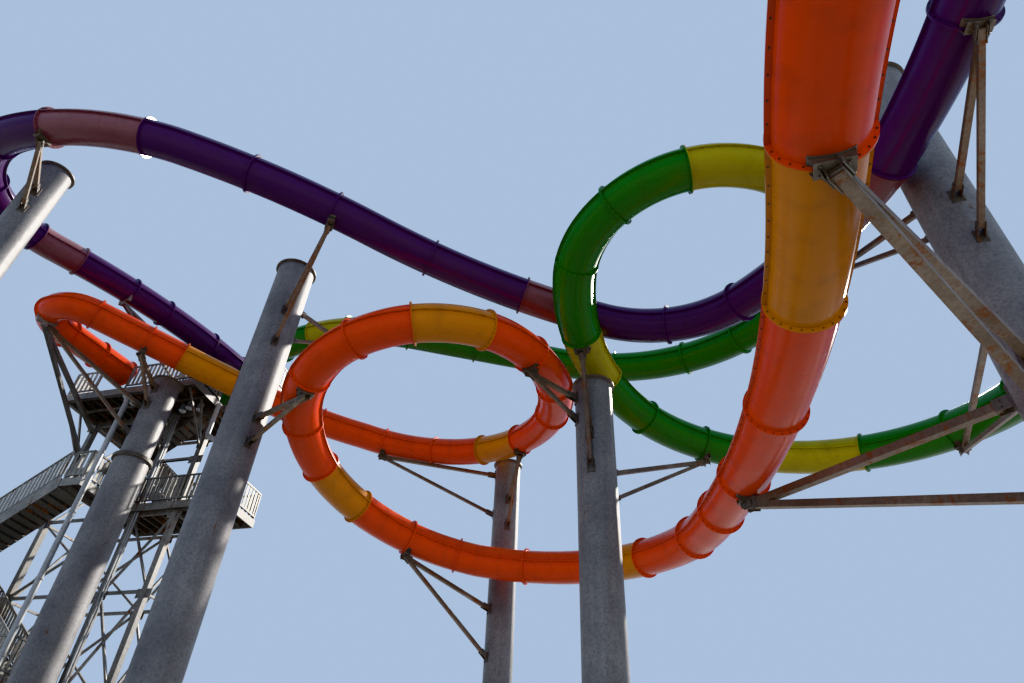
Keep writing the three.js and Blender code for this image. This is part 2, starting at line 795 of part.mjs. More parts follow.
// The outer landings lie between the outer frame's posts, and the inner one against the front frame.
const outerLanding = [OUTER_X[0], LANE_FRONT[0], OUTER_X[1], LANE_BACK[1]];
const innerLanding = [FLIGHT_TOP_X, LANE_FRONT[0], -LEG_SIZE / 2 - GAP, -STRUT_SIZE / 2 - GAP];
const outerRails = [[-5650, -2410], [-6560, -2410], [-6560, -240], [-5650, -240]];
const innerRails = [[-1250, -2410], [-140, -2410], [-140, -150], [-1250, -150]];

addSteel(
  "stair_flight_1",
  union([
    flight(LANE_BACK, [FLIGHT_TOP_X, 0], [OUTER_X[1], STOREY]),
    platform([outerLanding], STOREY),
    levelRailing(outerRails, STOREY),
  ]),
);
addSteel(
  "stair_flight_2",
  union([
    flight(LANE_FRONT, [OUTER_X[1] + GAP, STOREY + GAP], [FLIGHT_TOP_X, 2 * STOREY]),
    platform([innerLanding], 2 * STOREY),
    levelRailing(innerRails, 2 * STOREY),
  ]),
);
addSteel(
  "stair_flight_3",
  union([
    flight(LANE_BACK, [FLIGHT_TOP_X - GAP, 2 * STOREY + GAP], [OUTER_X[1], 3 * STOREY]),
    platform([outerLanding], 3 * STOREY),
    levelRailing(outerRails, 3 * STOREY),
  ]),
);
addSteel(
  "stair_flight_4",
  flight(LANE_FRONT, [OUTER_X[1] + GAP, 3 * STOREY + GAP], [FLIGHT_TOP_X - GAP, MIDDLE_LANDING]),
);

// Inner stair: two short flights between the legs, from the middle landing to the lower deck.
const innerBack = [980, 1780];
const innerFront = [120, 840];
addSteel(
  "stair_flight_5",
  union([
    flight(innerBack, [900, MIDDLE_LANDING + GAP], [-1900, HALF_LANDING]),
    platform([[-2800, STRUT_SIZE / 2 + GAP, -1900, BACK_Y - STRUT_SIZE / 2 - GAP]], HALF_LANDING),
  ]),
);
addSteel("stair_flight_6", flight(innerFront, [-1900 + GAP, HALF_LANDING + GAP], [900 - GAP, LOWER_DECK]));

// The last flight climbs over the back of the lower deck to the upper deck.
addSteel("stair_flight_7", flight([960, 1720], [-3900, LOWER_DECK + GAP], [-1000 - GAP, UPPER_DECK]));

export default object;
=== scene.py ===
# %% [markdown]
# # A water slide tower
# Three closed tube slides start on the decks of a steel stair tower and wind down in long bends, held by
# bracket arms on round columns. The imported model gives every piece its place. This lesson dresses it:
# round tubes with bolted flanges, weathered columns, stairs and slatted railings, then light and a camera
# that looks up as a visitor does.

import math

import bmesh
import bpy
from mathutils import Matrix, Vector


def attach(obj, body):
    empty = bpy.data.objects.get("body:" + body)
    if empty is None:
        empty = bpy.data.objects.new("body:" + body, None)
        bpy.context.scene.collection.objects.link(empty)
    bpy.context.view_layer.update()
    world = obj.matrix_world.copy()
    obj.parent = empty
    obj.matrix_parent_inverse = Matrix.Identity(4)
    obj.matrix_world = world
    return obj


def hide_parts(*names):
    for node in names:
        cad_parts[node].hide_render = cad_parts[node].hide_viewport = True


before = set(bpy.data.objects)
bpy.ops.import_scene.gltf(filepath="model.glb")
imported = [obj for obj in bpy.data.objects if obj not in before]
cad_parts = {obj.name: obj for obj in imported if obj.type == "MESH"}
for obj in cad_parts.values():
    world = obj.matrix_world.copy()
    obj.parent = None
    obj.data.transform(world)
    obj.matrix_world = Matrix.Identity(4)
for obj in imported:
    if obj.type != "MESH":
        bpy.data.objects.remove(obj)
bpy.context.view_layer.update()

# %% [markdown]
# ## Helpers for node trees
# Materials and Geometry Nodes are both trees of nodes. They could be wired up line by line, but then the
# recipe is lost among the links. One helper adds a node, sets its options, and fills or links its inputs,
# so that each tree below reads as a short list of steps.

# %% Add a node
def fill(tree, socket, value):
    if isinstance(value, bpy.types.NodeSocket):
        tree.links.new(value, socket)
    else:
        socket.default_value = value


def node(tree, kind, inputs=None, **options):
    made = tree.nodes.new(kind)
    for option, value in options.items():
        setattr(made, option, value)
    for socket, value in (inputs or {}).items():
        fill(tree, made.inputs[socket], value)
    return made


def calculate(tree, operation, first, second):
    return node(tree, "ShaderNodeMath", {0: first, 1: second}, operation=operation).outputs[0]


print("helpers for nodes: fill, node, calculate")

# %% Begin and end a geometry tree
def geometry_tree(name, inputs):
    tree = bpy.data.node_groups.new(name, "GeometryNodeTree")
    tree.interface.new_socket("Geometry", in_out="INPUT", socket_type="NodeSocketGeometry")
    for label, kind in inputs.items():
        tree.interface.new_socket(label, in_out="INPUT", socket_type="NodeSocket" + kind)
    tree.interface.new_socket("Geometry", in_out="OUTPUT", socket_type="NodeSocketGeometry")
    return tree, node(tree, "NodeGroupInput").outputs


def end_tree(tree, geometry, material):
    real = node(tree, "GeometryNodeRealizeInstances", {"Geometry": geometry})
    finish = node(tree, "GeometryNodeSetMaterial", {"Geometry": real.outputs[0], "Material": material})
    node(tree, "NodeGroupOutput", {"Geometry": finish.outputs[0]})
    print(tree.name + ":", len(tree.nodes), "nodes")


print("helpers for trees: geometry_tree, end_tree")

# %% [markdown]
# ## From a tree to a plain mesh
# A tree works on a source mesh, here always chains of edges that say where something runs. A flag on the
# points tells the joints from the runs. The result is copied into a plain mesh object and the source is
# thrown away, so no live modifier is left to change the piece later.

# %% Chains of edges
def placed(name, mesh):
    made = bpy.data.objects.new(name, mesh)
    bpy.context.scene.collection.objects.link(made)
    return made


def chain_object(name, chains, joints=()):
    vertices = []
    edges = []
    flags = []
    for is_joint, group in ((False, chains), (True, joints)):
        for points in group:
            first = len(vertices)
            vertices.extend(tuple(point) for point in points)
            edges.extend((i, i + 1) for i in range(first, len(vertices) - 1))
            flags.extend([is_joint] * len(points))
    mesh = bpy.data.meshes.new(name)
    mesh.from_pydata(vertices, edges, [])
    mesh.attributes.new("joint", "BOOLEAN", "POINT").data.foreach_set("value", flags)
    return placed(name, mesh)


print("helpers for sources: placed, chain_object")

# %% Finished pieces
SHARP_ANGLE = 35


def finished(name, source):
    graph = bpy.context.evaluated_depsgraph_get()
    mesh = bpy.data.meshes.new_from_object(source.evaluated_get(graph), depsgraph=graph)
    bpy.data.objects.remove(source)
    mesh.name = name
    mesh.shade_smooth()
    mesh.set_sharp_from_angle(angle=math.radians(SHARP_ANGLE))
    made = placed(name, mesh)
    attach(made, "root")
    print(name, len(mesh.polygons), "faces")
    return made


def grown(name, tree, source, settings):
    modifier = source.modifiers.new(tree.name, "NODES")
    modifier.node_group = tree
    for item in tree.interface.items_tree:
        if item.item_type == "SOCKET" and item.in_out == "INPUT" and item.name in settings:
            modifier[item.identifier] = settings[item.name]
    return finished(name, source)


print("edges over", SHARP_ANGLE, "degrees stay sharp")

# %% [markdown]
# ## Patterns for the finishes
# A picture of a surface would need unwrapping and would repeat on tubes this long. Noise on Object
# coordinates doesn't: it stays on the piece in every view and is never the same twice. These helpers make
# noise, stretch it to a range, and mix two colours by it.

# %% Noise, ranges and mixes
def new_material(name):
    material = bpy.data.materials.new(name)
    material.use_nodes = True
    return material, material.node_tree, material.node_tree.nodes["Principled BSDF"]


def noise(tree, coordinates, scale, detail, roughness=0.55):
    made = node(
        tree,
        "ShaderNodeTexNoise",
        {"Vector": coordinates, "Scale": scale, "Detail": detail, "Roughness": roughness},
    )
    return made.outputs["Fac"]


def remap(tree, value, low, high, to_low=0.0, to_high=1.0):
    made = node(
        tree,
        "ShaderNodeMapRange",
        {"Value": value, "From Min": low, "From Max": high, "To Min": to_low, "To Max": to_high},
    )
    return made.outputs["Result"]


def mix(tree, amount, first, second):
    made = node(tree, "ShaderNodeMix", data_type="RGBA", blend_type="MIX")
    sockets = {socket.identifier: socket for socket in made.inputs}
    for identifier, value in (("Factor_Float", amount), ("A_Color", first), ("B_Color", second)):
        fill(tree, sockets[identifier], value)
    return next(socket for socket in made.outputs if socket.identifier == "Result_Color")


def bump(tree, height, strength, distance, below=None):
    inputs = {"Height": height, "Strength": strength, "Distance": distance}
    if below:
        inputs["Normal"] = below
    return node(tree, "ShaderNodeBump", inputs).outputs[0]


def stretched(tree, coordinates, scale):
    return node(tree, "ShaderNodeMapping", {"Vector": coordinates, "Scale": scale}).outputs[0]


def upward(tree, place):
    return node(tree, "ShaderNodeSeparateXYZ", {"Vector": place.outputs["Normal"]}).outputs["Z"]


print("pattern helpers: noise, remap, mix, bump, stretched, upward")

# %% [markdown]
# ## Moulded plastic
# The tubes are glass-fibre laminate with a coloured gel coat. Sun bleaches the top, grime runs down in soft
# streaks, and the laminate is slightly wavy, which shows in its reflections. The undersides are darkened
# with painted shade, as a slide looks from below against the light.

# %% Colour of the gel coat
GRIME = (0.045, 0.03, 0.018, 1)
GRIME_AMOUNT = 0.3
UNDERSIDE_SHADE = 0.42
UNDERSIDE_SHADE_AMOUNT = 0.8
GEL_STREAKS = (2.6, 2.6, 0.5)
NOISE_RANGE = (0.3, 0.7)


def gel_colour(tree, place, colour, bleached):
    along = place.outputs["Object"]
    facing = upward(tree, place)
    patches = noise(tree, along, scale=0.35, detail=3)
    patchy = remap(tree, patches, *NOISE_RANGE, to_low=0.3, to_high=0.7)
    top = calculate(tree, "MULTIPLY", remap(tree, facing, 0.0, 0.9), patchy)
    faded = mix(tree, top, (*colour, 1), (*bleached, 1))
    # painted shade: faces that look down are darkened toward this deeper copy of the colour
    painted_underside_shade = [UNDERSIDE_SHADE * value for value in colour]
    below = remap(tree, facing, -0.35, -1.0, to_high=UNDERSIDE_SHADE_AMOUNT)
    shaded = mix(tree, below, faded, (*painted_underside_shade, 1))
    streaks = noise(tree, stretched(tree, along, GEL_STREAKS), scale=1.0, detail=7, roughness=0.65)
    dirt = calculate(tree, "MULTIPLY", remap(tree, streaks, 0.5, 0.8), GRIME_AMOUNT)
    return mix(tree, dirt, shaded, GRIME)


print("grime hides up to", GRIME_AMOUNT, "of the gel coat")

# %% Surface of the gel coat
def gel_surface(tree, along):
    dull = remap(tree, noise(tree, along, scale=1.3, detail=6), *NOISE_RANGE, to_low=0.2, to_high=0.36)
    waves = bump(tree, noise(tree, along, scale=1.4, detail=2), strength=0.1, distance=0.05)
    grain = bump(tree, noise(tree, along, scale=70, detail=3), strength=0.1, distance=0.002, below=waves)
    return dull, grain


def gel_coat(name, colour, bleached):
    material, tree, shader = new_material(name)
    place = node(tree, "ShaderNodeTexCoord")
    dull, grain = gel_surface(tree, place.outputs["Object"])
    tree.links.new(gel_colour(tree, place, colour, bleached), shader.inputs["Base Color"])
    tree.links.new(dull, shader.inputs["Roughness"])
    tree.links.new(grain, shader.inputs["Normal"])
    shader.inputs["IOR"].default_value = 1.42
    shader.inputs["Specular IOR Level"].default_value = 0.3
    shader.inputs["Coat Weight"].default_value = 0.1
    shader.inputs["Coat Roughness"].default_value = 0.1
    return material


GEL_COATS = {
    "orange": gel_coat("Orange gel coat", (0.60, 0.048, 0.001), (0.70, 0.10, 0.015)),
    "amber": gel_coat("Amber gel coat", (0.50, 0.165, 0.001), (0.62, 0.25, 0.02)),
    "purple": gel_coat("Purple gel coat", (0.062, 0.022, 0.082), (0.13, 0.08, 0.16)),
    "pink": gel_coat("Pink gel coat", (0.22, 0.105, 0.115), (0.40, 0.25, 0.26)),
    "green": gel_coat("Green gel coat", (0.012, 0.130, 0.001), (0.05, 0.24, 0.015)),
    "yellow": gel_coat("Yellow gel coat", (0.33, 0.28, 0.002), (0.50, 0.45, 0.04)),
}
print("gel coats:", ", ".join(GEL_COATS))

# %% [markdown]
# ## Weathered steel
# The columns and the stair tower are steel under old grey paint. Rain draws faint upright streaks, the
# paint has chalked in clouds, and rust starts in spots and runs down. Faces that look down are darkened
# with painted shade. One recipe with other numbers gives columns, tower, rustier arms and dark fittings,
# which keeps them one family, as coats from the same tin are.

# %% Chalked paint
STEEL_STREAKS = (6, 6, 0.35)
STREAK_AMOUNT = 0.45
FLECK_SHADE = 0.35


def chalked(tree, along, upright, paint, shadow, speckle):
    clouds = remap(tree, noise(tree, along, scale=0.8, detail=6), *NOISE_RANGE)
    streaks = remap(tree, noise(tree, upright, scale=1.0, detail=5), 0.35, 0.7)
    chalk = mix(tree, clouds, (*shadow, 1), (*paint, 1))
    weathered = mix(tree, calculate(tree, "MULTIPLY", streaks, STREAK_AMOUNT), chalk, (*shadow, 1))
    flecks = remap(tree, noise(tree, along, scale=15, detail=9, roughness=0.75), 0.45, 0.62, to_high=speckle)
    dark = [FLECK_SHADE * value for value in shadow]
    return mix(tree, flecks, weathered, (*dark, 1))


print("streaks darken the paint by up to", STREAK_AMOUNT)

# %% Rust, and painted shade underneath
RUST_DARK = (0.07, 0.024, 0.009, 1)
RUST_LIGHT = (0.22, 0.085, 0.03, 1)
RUST_EDGE = 0.07
PAINTED_SHADE_DARK = (0.028, 0.026, 0.024, 1)


def rusted(tree, along, upright, rust_from, coat):
    fine_runs = noise(tree, upright, scale=2.2, detail=8, roughness=0.7)
    spots = noise(tree, along, scale=1.7, detail=6, roughness=0.65)
    both = calculate(tree, "MULTIPLY", fine_runs, spots)
    amount = remap(tree, both, rust_from, rust_from + RUST_EDGE)
    rust = mix(tree, noise(tree, along, scale=30, detail=4), RUST_DARK, RUST_LIGHT)
    return mix(tree, amount, coat, rust)


# painted shade: faces that look down are darkened toward a near-black colour
def shade_underneath(tree, place, painted_shade_below, coat):
    under = remap(tree, upward(tree, place), -0.3, -0.95, to_high=painted_shade_below)
    return mix(tree, under, coat, PAINTED_SHADE_DARK)


print("rust fades in over", RUST_EDGE)

# %% The recipe for painted steel
def painted_steel(name, paint, shadow, rust_from, roughness, speckle=0.35, painted_shade_below=0.0):
    material, tree, shader = new_material(name)
    place = node(tree, "ShaderNodeTexCoord")
    along = place.outputs["Object"]
    upright = stretched(tree, along, STEEL_STREAKS)
    coat = chalked(tree, along, upright, paint, shadow, speckle)
    coat = rusted(tree, along, upright, rust_from, coat)
    tree.links.new(shade_underneath(tree, place, painted_shade_below, coat), shader.inputs["Base Color"])

    worn = noise(tree, along, scale=5, detail=5)
    gloss = remap(tree, worn, *NOISE_RANGE, to_low=roughness - 0.08, to_high=roughness + 0.1)
    tree.links.new(gloss, shader.inputs["Roughness"])
    peel = bump(tree, noise(tree, along, scale=18, detail=6), strength=0.2, distance=0.004)
    tree.links.new(peel, shader.inputs["Normal"])
    shader.inputs["Metallic"].default_value = 0.15
    return material


print("recipe ready:", painted_steel.__name__)

# %% Paints for columns, arms and tower
COLUMN_PAINT = painted_steel(
    "Column paint", (0.27, 0.26, 0.255), (0.155, 0.148, 0.148), rust_from=0.37, roughness=0.5, speckle=0.4
)
ARM_PAINT = painted_steel(
    "Arm paint", (0.23, 0.185, 0.145), (0.125, 0.095, 0.072), rust_from=0.275, roughness=0.55
)
FITTING_PAINT = painted_steel(
    "Dark fittings", (0.19, 0.168, 0.142), (0.095, 0.082, 0.068), rust_from=0.33, roughness=0.5
)
# the tower's downward faces get painted shade
TOWER_PAINT = painted_steel(
    "Tower paint", (0.36, 0.345, 0.32), (0.18, 0.17, 0.155),
    rust_from=0.31, roughness=0.5, speckle=0.45, painted_shade_below=0.85,
)
# painted shade: a dark copy of the tower paint for the joists and ribs under decks and flights
SHADED_DECK_PAINT = painted_steel(
    "Shaded deck underside", (0.10, 0.098, 0.09), (0.045, 0.042, 0.038), rust_from=0.27, roughness=0.6
)
SLAT_FINISH = painted_steel(
    "Railing slats", (0.40, 0.38, 0.34), (0.19, 0.175, 0.15), rust_from=0.31, roughness=0.5
)
PIPE_PAINT = painted_steel(
    "Pipe paint", (0.48, 0.49, 0.50), (0.30, 0.305, 0.31), rust_from=0.36, roughness=0.45, speckle=0.2
)
print("paints: column, arm, fittings, tower, deck, slats, pipes")

# %% Bolt steel
BOLT_GREY = (0.12, 0.12, 0.125, 1)
BOLT_TARNISH = (0.05, 0.028, 0.015, 1)


def bolt_steel():
    material, tree, shader = new_material("Bolt steel")
    along = node(tree, "ShaderNodeTexCoord").outputs["Object"]
    tarnish = mix(tree, noise(tree, along, scale=9, detail=3), BOLT_GREY, BOLT_TARNISH)
    tree.links.new(tarnish, shader.inputs["Base Color"])
    shader.inputs["Metallic"].default_value = 0.6
    shader.inputs["Roughness"].default_value = 0.45
    return material


BOLT_STEEL = bolt_steel()
print("made:", BOLT_STEEL.name)

# %% [markdown]
# ## The slides' routes
# Each slide is a line in space: straights and bends laid end to end, each with its own fall. It could be
# drawn as a free curve, but real tubes come from moulds of fixed radius, so bends and straights are closer
# to it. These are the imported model's routes, in metres, with a left turn positive. Only the orange slide's
# last piece stops 3 cm short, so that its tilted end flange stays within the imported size.

# %% Straights and bends
def straight(length, fall):
    return {"length": length, "fall": fall, "turn": 0, "radius": 0}


def bend(turn, radius, fall):
    return {"length": abs(math.radians(turn)) * radius, "fall": fall, "turn": turn, "radius": radius}


print("a quarter bend of 4 m is", round(bend(90, 4, 0)["length"], 2), "m long")

# %% Orange slide
ORANGE = {
    "start": (-18.57, 7.4, 18.4),
    "heading": -108.5,
    "runs": [
        straight(3.2, 0.1),
        bend(144, 1.3, 0.1),
        straight(6.2, 0.1),
        bend(-20, 13.45, 0.1),
        bend(-149.5, 5.9, 0.17),
        bend(-128, 3.45, 0.185),
        bend(-63, 5.65, 0.18),
        bend(-35.5, 4.85, 0.18),
        bend(-88, 6.3, 0.13),
        bend(-21.8, 32.95, 0.1),
        bend(17.5, 23.1, 0.1),
    ],
    "pieces": [
        ("orange_run_1", 0, 9.7),
        ("amber_run_1", 9.7, 12.8),
        ("orange_run_2", 12.8, 22.6),
        ("amber_run_2", 22.6, 24.65),
        ("orange_run_3", 24.65, 33.6),
        ("amber_run_3", 33.6, 35.6),
        ("orange_run_4", 35.6, 43.0),
        ("amber_run_4", 43.0, 45.1),
        ("orange_run_5", 45.1, 53.9),
        ("amber_run_5", 53.9, 55.9),
        ("orange_run_6", 55.9, 69.05),
        ("amber_run_6", 69.05, 72.15),
        ("orange_run_7", 72.15, 77.97),
    ],
    "joints": [
        1.5, 3.0, 4.6, 6.5, 8.4, 15.5, 18.2, 20.4, 27.4, 29.5, 31.7, 37.2, 39.1, 41.1, 47.2, 49.0, 51.4,
        58.4, 60.5, 62.6, 65.8, 75.0,
    ],
}
print("orange:", len(ORANGE["runs"]), "runs,", len(ORANGE["pieces"]), "pieces")

# %% Purple slide
PURPLE = {
    "start": (-14.87, 10.6, 20.8),
    "heading": -106.5,
    "runs": [
        bend(-21, 27.6, 0.1),
        bend(104.5, 3.4, 0.1),
        bend(34.5, 9.4, 0.14),
        bend(12.5, 27.7, 0.19),
        bend(-17.5, 24.15, 0.19),
        bend(-68, 3.65, 0.17),
        bend(-29, 11.2, 0.17),
        bend(-25, 19.8, 0.12),
    ],
    "pieces": [
        ("purple_run_1", 1.0, 9.2),
        ("pink_run_1", 9.2, 10.8),
        ("purple_run_2", 10.8, 18.1),
        ("pink_run_2", 18.1, 21.2),
        ("purple_run_3", 21.2, 32.9),
        ("pink_run_3", 32.9, 34.5),
        ("purple_run_4", 34.5, 42.5),
        ("pink_run_4", 42.5, 45.4),
        ("purple_run_5", 45.4, 52.0),
    ],
    "joints": [3.0, 5.5, 7.1, 13.5, 15.8, 24.3, 26.8, 29.9, 37.4, 39.7, 48.7],
}
print("purple:", len(PURPLE["runs"]), "runs,", len(PURPLE["pieces"]), "pieces")

# %% Green slide
GREEN = {
    "start": (-15.07, 9.7, 18.75),
    "heading": -53.5,
    "runs": [
        straight(4.3, 0.06),
        bend(59, 7.1, 0.07),
        straight(5.55, 0.09),
        bend(-92.5, 6.35, 0.1),
        bend(-91, 4.0, 0.12),
        bend(-95, 3.2, 0.13),
        bend(-44, 6.8, 0.16),
        bend(-160, 5.5, 0.15),
    ],
    "pieces": [
        ("green_run_1", 0, 7.7),
        ("yellow_run_1", 7.7, 9.2),
        ("green_run_2", 9.2, 31.8),
        ("yellow_run_2", 31.8, 34.7),
        ("green_run_3", 34.7, 41.1),
        ("yellow_run_3", 41.1, 43.0),
        ("green_run_4", 43.0, 49.5),
        ("yellow_run_4", 49.5, 52.2),
        ("green_run_5", 52.2, 59.0),
    ],
    "joints": [
        2.0, 4.0, 5.9, 11.5, 14.0, 16.6, 19.2, 21.8, 23.9, 26.0, 28.2, 30.0, 36.6, 38.6, 45.1, 47.3, 54.8,
        57.1,
    ],
}
print("green:", len(GREEN["runs"]), "runs,", len(GREEN["pieces"]), "pieces")

# %% Points on a route
ROUTES = {"orange": ORANGE, "purple": PURPLE, "green": GREEN}
CHAIN_STEP = 0.2


def place_on(route, station):
    x, y, z = route["start"]
    heading = math.radians(route["heading"])
    left = station
    for run in route["runs"]:
        length = min(left, run["length"])
        if run["turn"]:
            side = math.copysign(1, run["turn"])
            turned = heading + side * length / run["radius"]
            x += side * run["radius"] * (math.sin(turned) - math.sin(heading))
            y -= side * run["radius"] * (math.cos(turned) - math.cos(heading))
            heading = turned
        else:
            x += length * math.cos(heading)
            y += length * math.sin(heading)
        z -= length * run["fall"]
        left -= length
        if left <= 0:
            break
    return Vector((x, y, z)), heading


def points_at(route, stations):
    return [place_on(route, station)[0] for station in stations]


def stretch(route, start, end):
    count = max(1, round((end - start) / CHAIN_STEP))
    return points_at(route, [start + (end - start) * i / count for i in range(count + 1)])


for colour, route in ROUTES.items():
    exit_point = place_on(route, route["pieces"][-1][2])[0]
    print(colour, "slide ends at", [round(value, 2) for value in exit_point])

# %% [markdown]
# ## The tubes
# A real tube is two half shells bolted together along a flange on each side, and the sections are bolted
# end to end at ring flanges. All of it follows the route, so one tree sweeps a circle along each run for
# the wall, two flat bars for the side flanges, and a wider, shorter sleeve at each joint. Sweeping keeps
# every flange square to the tube, which modelling by hand would not.

# %% Split joints from runs
def level_curve(tree, geometry):
    curve = node(tree, "GeometryNodeMeshToCurve", {"Mesh": geometry}).outputs[0]
    return node(tree, "GeometryNodeSetCurveNormal", {"Curve": curve}, mode="Z_UP").outputs[0]


def joint_parts(tree, geometry):
    flag = node(tree, "GeometryNodeInputNamedAttribute", {"Name": "joint"}, data_type="BOOLEAN")
    chosen = {"Geometry": geometry, "Selection": flag.outputs["Attribute"]}
    parts = node(tree, "GeometryNodeSeparateGeometry", chosen)
    return level_curve(tree, parts.outputs["Selection"]), level_curve(tree, parts.outputs["Inverted"])


def join(tree, *geometries):
    joined = node(tree, "GeometryNodeJoinGeometry")
    for geometry in geometries:
        tree.links.new(geometry, joined.inputs[0])
    return joined.outputs[0]


def circle(tree, sides, radius):
    return node(tree, "GeometryNodeCurvePrimitiveCircle", {"Resolution": sides, "Radius": radius}).outputs[0]


def swept(tree, curve, profile, caps=False):
    inputs = {"Curve": curve, "Profile Curve": profile, "Fill Caps": caps}
    return node(tree, "GeometryNodeCurveToMesh", inputs).outputs[0]


print("helpers for curves: level_curve, joint_parts, join, circle, swept")

# %% A sleeve with a wall
WELD_DISTANCE = 0.00001


def sleeve_tree():
    tree, given = geometry_tree("Sleeve", {"Radius": "Float", "Inset": "Float", "Sides": "Int"})
    outside = swept(tree, given["Geometry"], circle(tree, given["Sides"], given["Radius"]))
    inward = calculate(tree, "MULTIPLY", given["Inset"], -1.0)
    extrusion = {"Mesh": outside, "Offset Scale": inward, "Individual": False}
    inside = node(tree, "GeometryNodeExtrudeMesh", extrusion).outputs["Mesh"]
    inside = node(tree, "GeometryNodeFlipFaces", {"Mesh": inside}).outputs[0]
    both = {"Geometry": join(tree, outside, inside), "Distance": WELD_DISTANCE}
    shell = node(tree, "GeometryNodeMergeByDistance", both)
    node(tree, "NodeGroupOutput", {"Geometry": shell.outputs[0]})
    return tree


SLEEVE = sleeve_tree()


def sleeve(tree, curve, radius, inset, sides):
    group = node(tree, "GeometryNodeGroup", node_tree=SLEEVE)
    for socket, value in (("Geometry", curve), ("Radius", radius), ("Inset", inset), ("Sides", sides)):
        fill(tree, group.inputs[socket], value)
    return group.outputs[0]


print("sleeve tree:", len(SLEEVE.nodes), "nodes")

# %% The tree for tubes and flanges
FLANGE_BITE = 0.02


def tube_tree():
    tree, given = geometry_tree(
        "Tube with flanges",
        {
            "Radius": "Float",
            "Wall": "Float",
            "Sides": "Int",
            "Flange Reach": "Float",
            "Seam Thickness": "Float",
            "Material": "Material",
        },
    )
    joints, runs = joint_parts(tree, given["Geometry"])
    wall = sleeve(tree, runs, given["Radius"], given["Wall"], given["Sides"])
    reach = calculate(tree, "ADD", given["Radius"], given["Flange Reach"])
    depth = calculate(tree, "ADD", given["Flange Reach"], FLANGE_BITE)
    rings = sleeve(tree, joints, reach, depth, given["Sides"])
    size = {"Width": depth, "Height": given["Seam Thickness"]}
    bar = node(tree, "GeometryNodeCurvePrimitiveQuadrilateral", size).outputs[0]
    middle = calculate(tree, "SUBTRACT", reach, calculate(tree, "MULTIPLY", depth, 0.5))
    seams = []
    for side in (1, -1):
        offset = calculate(tree, "MULTIPLY", middle, side)
        shift = node(tree, "ShaderNodeCombineXYZ", {"X": offset}).outputs[0]
        moved = node(tree, "GeometryNodeTransform", {"Geometry": bar, "Translation": shift}).outputs[0]
        seams.append(swept(tree, runs, moved, caps=True))
    end_tree(tree, join(tree, wall, rings, *seams), given["Material"])
    return tree


TUBE = tube_tree()

# %% Tubes of each colour
TUBE_RADIUS = 0.525
TUBE_WALL = 0.05
TUBE_SIDES = 48
FLANGE_REACH = 0.07
FLANGE_THICKNESS = 0.024
FLANGE_GAP = 0.002
SEAM_THICKNESS = 0.03


def flanges(route, start, end):
    inner = [station for station in route["joints"] if start < station < end]
    starts = [start, *inner]
    ends = [*inner, end]
    sleeves = [(station + FLANGE_GAP / 2, station + FLANGE_THICKNESS) for station in starts]
    sleeves += [(station - FLANGE_THICKNESS, station - FLANGE_GAP / 2) for station in ends]
    return [points_at(route, each) for each in sleeves]


def tubes(colour):
    runs = []
    rings = []
    names = []
    for route in ROUTES.values():
        for name, start, end in route["pieces"]:
            if name.startswith(colour):
                runs.append(stretch(route, start, end))
                rings.extend(flanges(route, start, end))
                names.append(name)
    settings = {
        "Radius": TUBE_RADIUS,
        "Wall": TUBE_WALL,
        "Sides": TUBE_SIDES,
        "Flange Reach": FLANGE_REACH,
        "Seam Thickness": SEAM_THICKNESS,
        "Material": GEL_COATS[colour],
    }
    piece = grown(colour + "_tubes", TUBE, chain_object(colour + "_routes", runs, rings), settings)
    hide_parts(*names)


for colour in GEL_COATS:
    tubes(colour)

# %% [markdown]
# ## Bolts on the flanges
# Every flange is bolted at an even pitch, round each ring and along each side flange. There are thousands,
# too many to place by hand, so the tree sweeps a circle of few points along each joint, and a short upright
# line along each run. Its points are where the bolts go, and a six-sided head is set on each.

# %% Heads on the points of a sweep
def set_heads(tree, curve, profile, direction, head):
    stored = {"Geometry": curve, "Name": "axis", "Value": direction}
    kept = node(
        tree, "GeometryNodeStoreNamedAttribute", stored, data_type="FLOAT_VECTOR", domain="POINT"
    ).outputs[0]
    axis = node(tree, "GeometryNodeInputNamedAttribute", {"Name": "axis"}, data_type="FLOAT_VECTOR")
    turn = node(tree, "FunctionNodeAlignRotationToVector", {"Vector": axis.outputs["Attribute"]}, axis="Z")
    spread = {"Points": swept(tree, kept, profile), "Instance": head, "Rotation": turn.outputs[0]}
    return node(tree, "GeometryNodeInstanceOnPoints", spread).outputs[0]


def square_to(tree, tangent):
    rise = node(tree, "ShaderNodeSeparateXYZ", {"Vector": tangent}).outputs["Z"]
    along = node(tree, "ShaderNodeVectorMath", {0: tangent, "Scale": rise}, operation="SCALE").outputs[0]
    return node(tree, "ShaderNodeVectorMath", {0: (0, 0, 1), 1: along}, operation="SUBTRACT").outputs[0]


print("helpers for bolts: set_heads, square_to")

